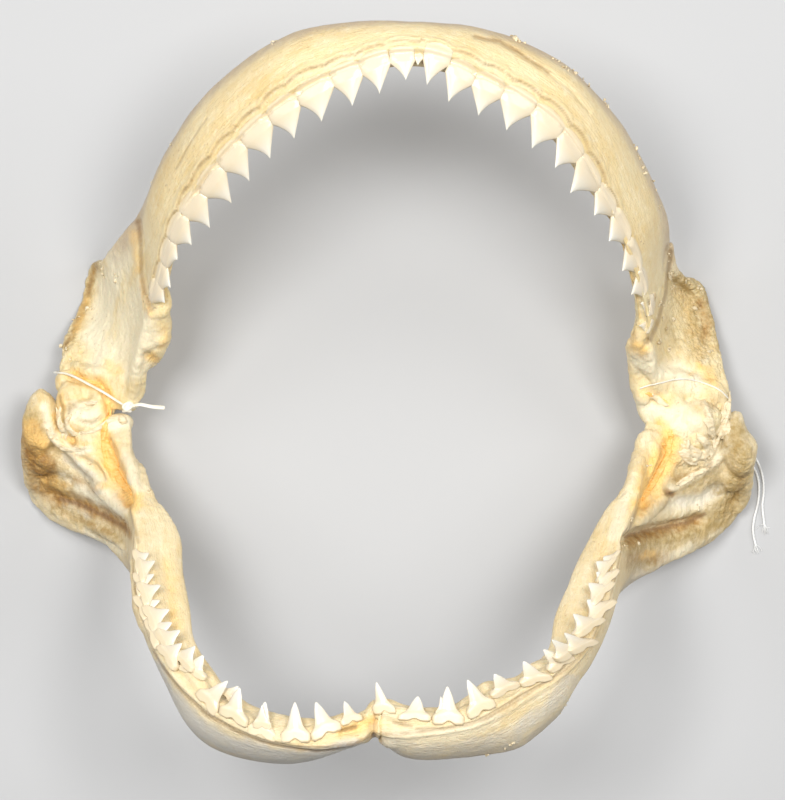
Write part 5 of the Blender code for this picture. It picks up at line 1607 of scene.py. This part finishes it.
def crumbParts(points, normals, rng, sizes):
    parts = []
    for point, normal in zip(points, normals):
        for _ in range(rng.integers(2, 7)):
            size = rng.uniform(*sizes) * mm
            vertices, faces = blobParts((0, 0, 0), size * rng.uniform(0.35, 1.6, 3), rows=6, columns=8)
            vertices = vertices * (1 + 0.22 * rng.normal(0, 1, (len(vertices), 1)))
            slide = rng.normal(0, 1.1 * mm, 3)
            slide = slide - normal * (slide @ normal)
            parts.append((vertices + point + slide + normal * size * rng.uniform(0.0, 0.7), faces))
    return parts


def addCrumbs():
    rng = np.random.default_rng(404)
    parts = []
    for key, along, across, count, sizes in crumbSetup:
        half, piece = halves[key], pieces[key]
        points, normals = meshPoints(piece.data)
        distance, out, deep = half.fromWorld(points)
        share = distance / half.length
        reach = deep / half.value("depth", share)
        fit = (share > along[0]) & (share < along[1]) & (reach > across[0]) & (reach < across[1])
        fit &= normals[:, 2] > -0.1
        chosen = rng.choice(np.flatnonzero(fit), count, replace=False)
        parts += crumbParts(points[chosen], normals[chosen], rng, sizes)
    addPiece("dried_crumbs", meshFrom("dried_crumbs", parts), tissueMaterial)


addCrumbs()
for side in ("left", "right"):
    addTissue(side, "amber", amberMaterial, [f"joint_ligament_{side}"])
    addTissue(side, "white", tissueMaterial, [])
print("joint tissue made")

tieSetup = {
    "band": {"over": ((-140.2, 8.6, 19.5), (-137.0, 8.4, 24.0), (-132.4, 6.9, 28.0), (-126, 3.7, 31.5),
                      (-119.5, 0.3, 34.3), (-113.3, -3.7, 34.0), (-109.8, -5.8, 33.0)),
             "under": ((-109.8, -5.8, 33.0), (-106.6, -5.4, 30.0), (-106.5, -3.5, 25.0), (-112, 0, 17.0),
                       (-122, 4.5, 11.0), (-133, 7.5, 9.0), (-140.5, 9.0, 10.5), (-142.2, 9.0, 15.0),
                       (-140.2, 8.6, 19.5)),
             "radius": 0.95 * mm, "flatten": 0.55},
    "knot": (-109.6, -5.7, 34.0), "knotRadii": (2.5, 2.2, 1.8),
    "tail": ((-109.0, -5.6, 34.4), (-104.5, -4.7, 35.0), (-99.5, -5.6, 35.0), (-94.6, -6.0, 34.6)),
    "line": ((104.2, 2.0, 33.5), (107.5, 3.2, 38.0), (113.0, 4.4, 36.0), (119.3, 5.8, 33.0), (126, 5.8, 28.8),
             (132.8, 4.0, 24.0), (138.3, 1.4, 21.2), (142.4, -2.2, 20.0), (143.4, -2.6, 15), (137, 1.5, 9.5),
             (127, 4.5, 14), (117, 4, 19), (108, 2.5, 23), (103.4, 1.8, 28), (104.2, 2.0, 33.5)),
    "lineRadius": 0.38 * mm,
}


def addTies():
    band = tieSetup["band"]
    over = layOn(band["over"], band["radius"] * 0.7, False)
    under = curveThrough(np.array(band["under"]) * mm, samples=14)
    knot, radii = np.array(tieSetup["knot"]) * mm, np.array(tieSetup["knotRadii"]) * mm
    knot[2] = over[-1][2] + radii[2] * 0.3
    turns = np.linspace(0, math.tau * 1.5, 60)
    wrap = np.stack([np.sin(turns * 1.4) * 0.75, np.cos(turns) * 0.8, np.sin(turns) * 0.75], 1)
    tail = curveThrough(np.array(tieSetup["tail"]) * mm, samples=10)
    parts = [tubeParts(over, band["radius"], sides=12, flatten=band["flatten"]),
             tubeParts(under, band["radius"], sides=12, flatten=band["flatten"]),
             blobParts(knot, radii * 0.75), tubeParts(knot + wrap * radii, band["radius"] * 0.75, sides=8),
             tubeParts(tail, band["radius"] * np.linspace(0.8, 1.1, len(tail)), sides=12,
                       flatten=band["flatten"])]
    mesh = skinOver("nylon_tie", meshFrom("nylon_tie", parts), 0.25 * mm, 3)
    addPiece("nylon_tie", mesh, nylonMaterial, ["nylon_tie_left"])
    route = layOn(tieSetup["line"][:8], tieSetup["lineRadius"], False, 80)
    back = curveThrough(np.array(tieSetup["line"][7:]) * mm, samples=12)
    parts = [tubeParts(stretch, tieSetup["lineRadius"], sides=8) for stretch in (route, back)]
    addPiece("thin_line", meshFrom("thin_line", parts), nylonMaterial, ["thin_line_right"])


addTies()
print("ties made")


stageSetup = {"halfSide": 3.0, "floor": (0.49, 0.49, 0.49, 1), "floorRoughness": 0.9, "sky": 0.12,
              # place, size and power of each lamp
              "lamps": [((-0.40, 0.22, 1.36), 0.50, 14.0), ((0.40, 0.18, 1.38), 0.50, 12.5),
                        ((1.15, 0.45, 0.95), 0.60, 5.5), ((-1.15, 0.40, 0.95), 0.60, 4.0)]}


def addStage():
    corners = [(x, y, 0) for x, y in ((-1, -1), (1, -1), (1, 1), (-1, 1))]
    mesh = meshFrom("floor", [(np.array(corners) * stageSetup["halfSide"], [(0, 1, 2, 3)])])
    floor = bpy.data.objects.new("floor", mesh)
    scene.collection.objects.link(floor)
    material, bench, shader = startMaterial("paleFloor")
    shader.inputs["Base Color"].default_value = stageSetup["floor"]
    shader.inputs["Roughness"].default_value = stageSetup["floorRoughness"]
    mesh.materials.append(material)
    for number, (place, size, power) in enumerate(stageSetup["lamps"]):
        data = bpy.data.lights.new(f"lamp{number}", "AREA")
        data.size, data.energy = size, power
        lamp = bpy.data.objects.new(f"lamp{number}", data)
        lamp.location = place
        lamp.rotation_euler = (Vector((0, 0, 0.06)) - Vector(place)).to_track_quat("-Z", "Y").to_euler()
        scene.collection.objects.link(lamp)
    world = bpy.data.worlds.new("softSky")
    world.use_nodes = True
    sky = world.node_tree.nodes["Background"]
    sky.inputs["Color"].default_value = (1, 1, 1, 1)
    sky.inputs["Strength"].default_value = stageSetup["sky"]
    scene.world = world
    scene.view_settings.view_transform = "Standard"


addStage()
print("stage set")
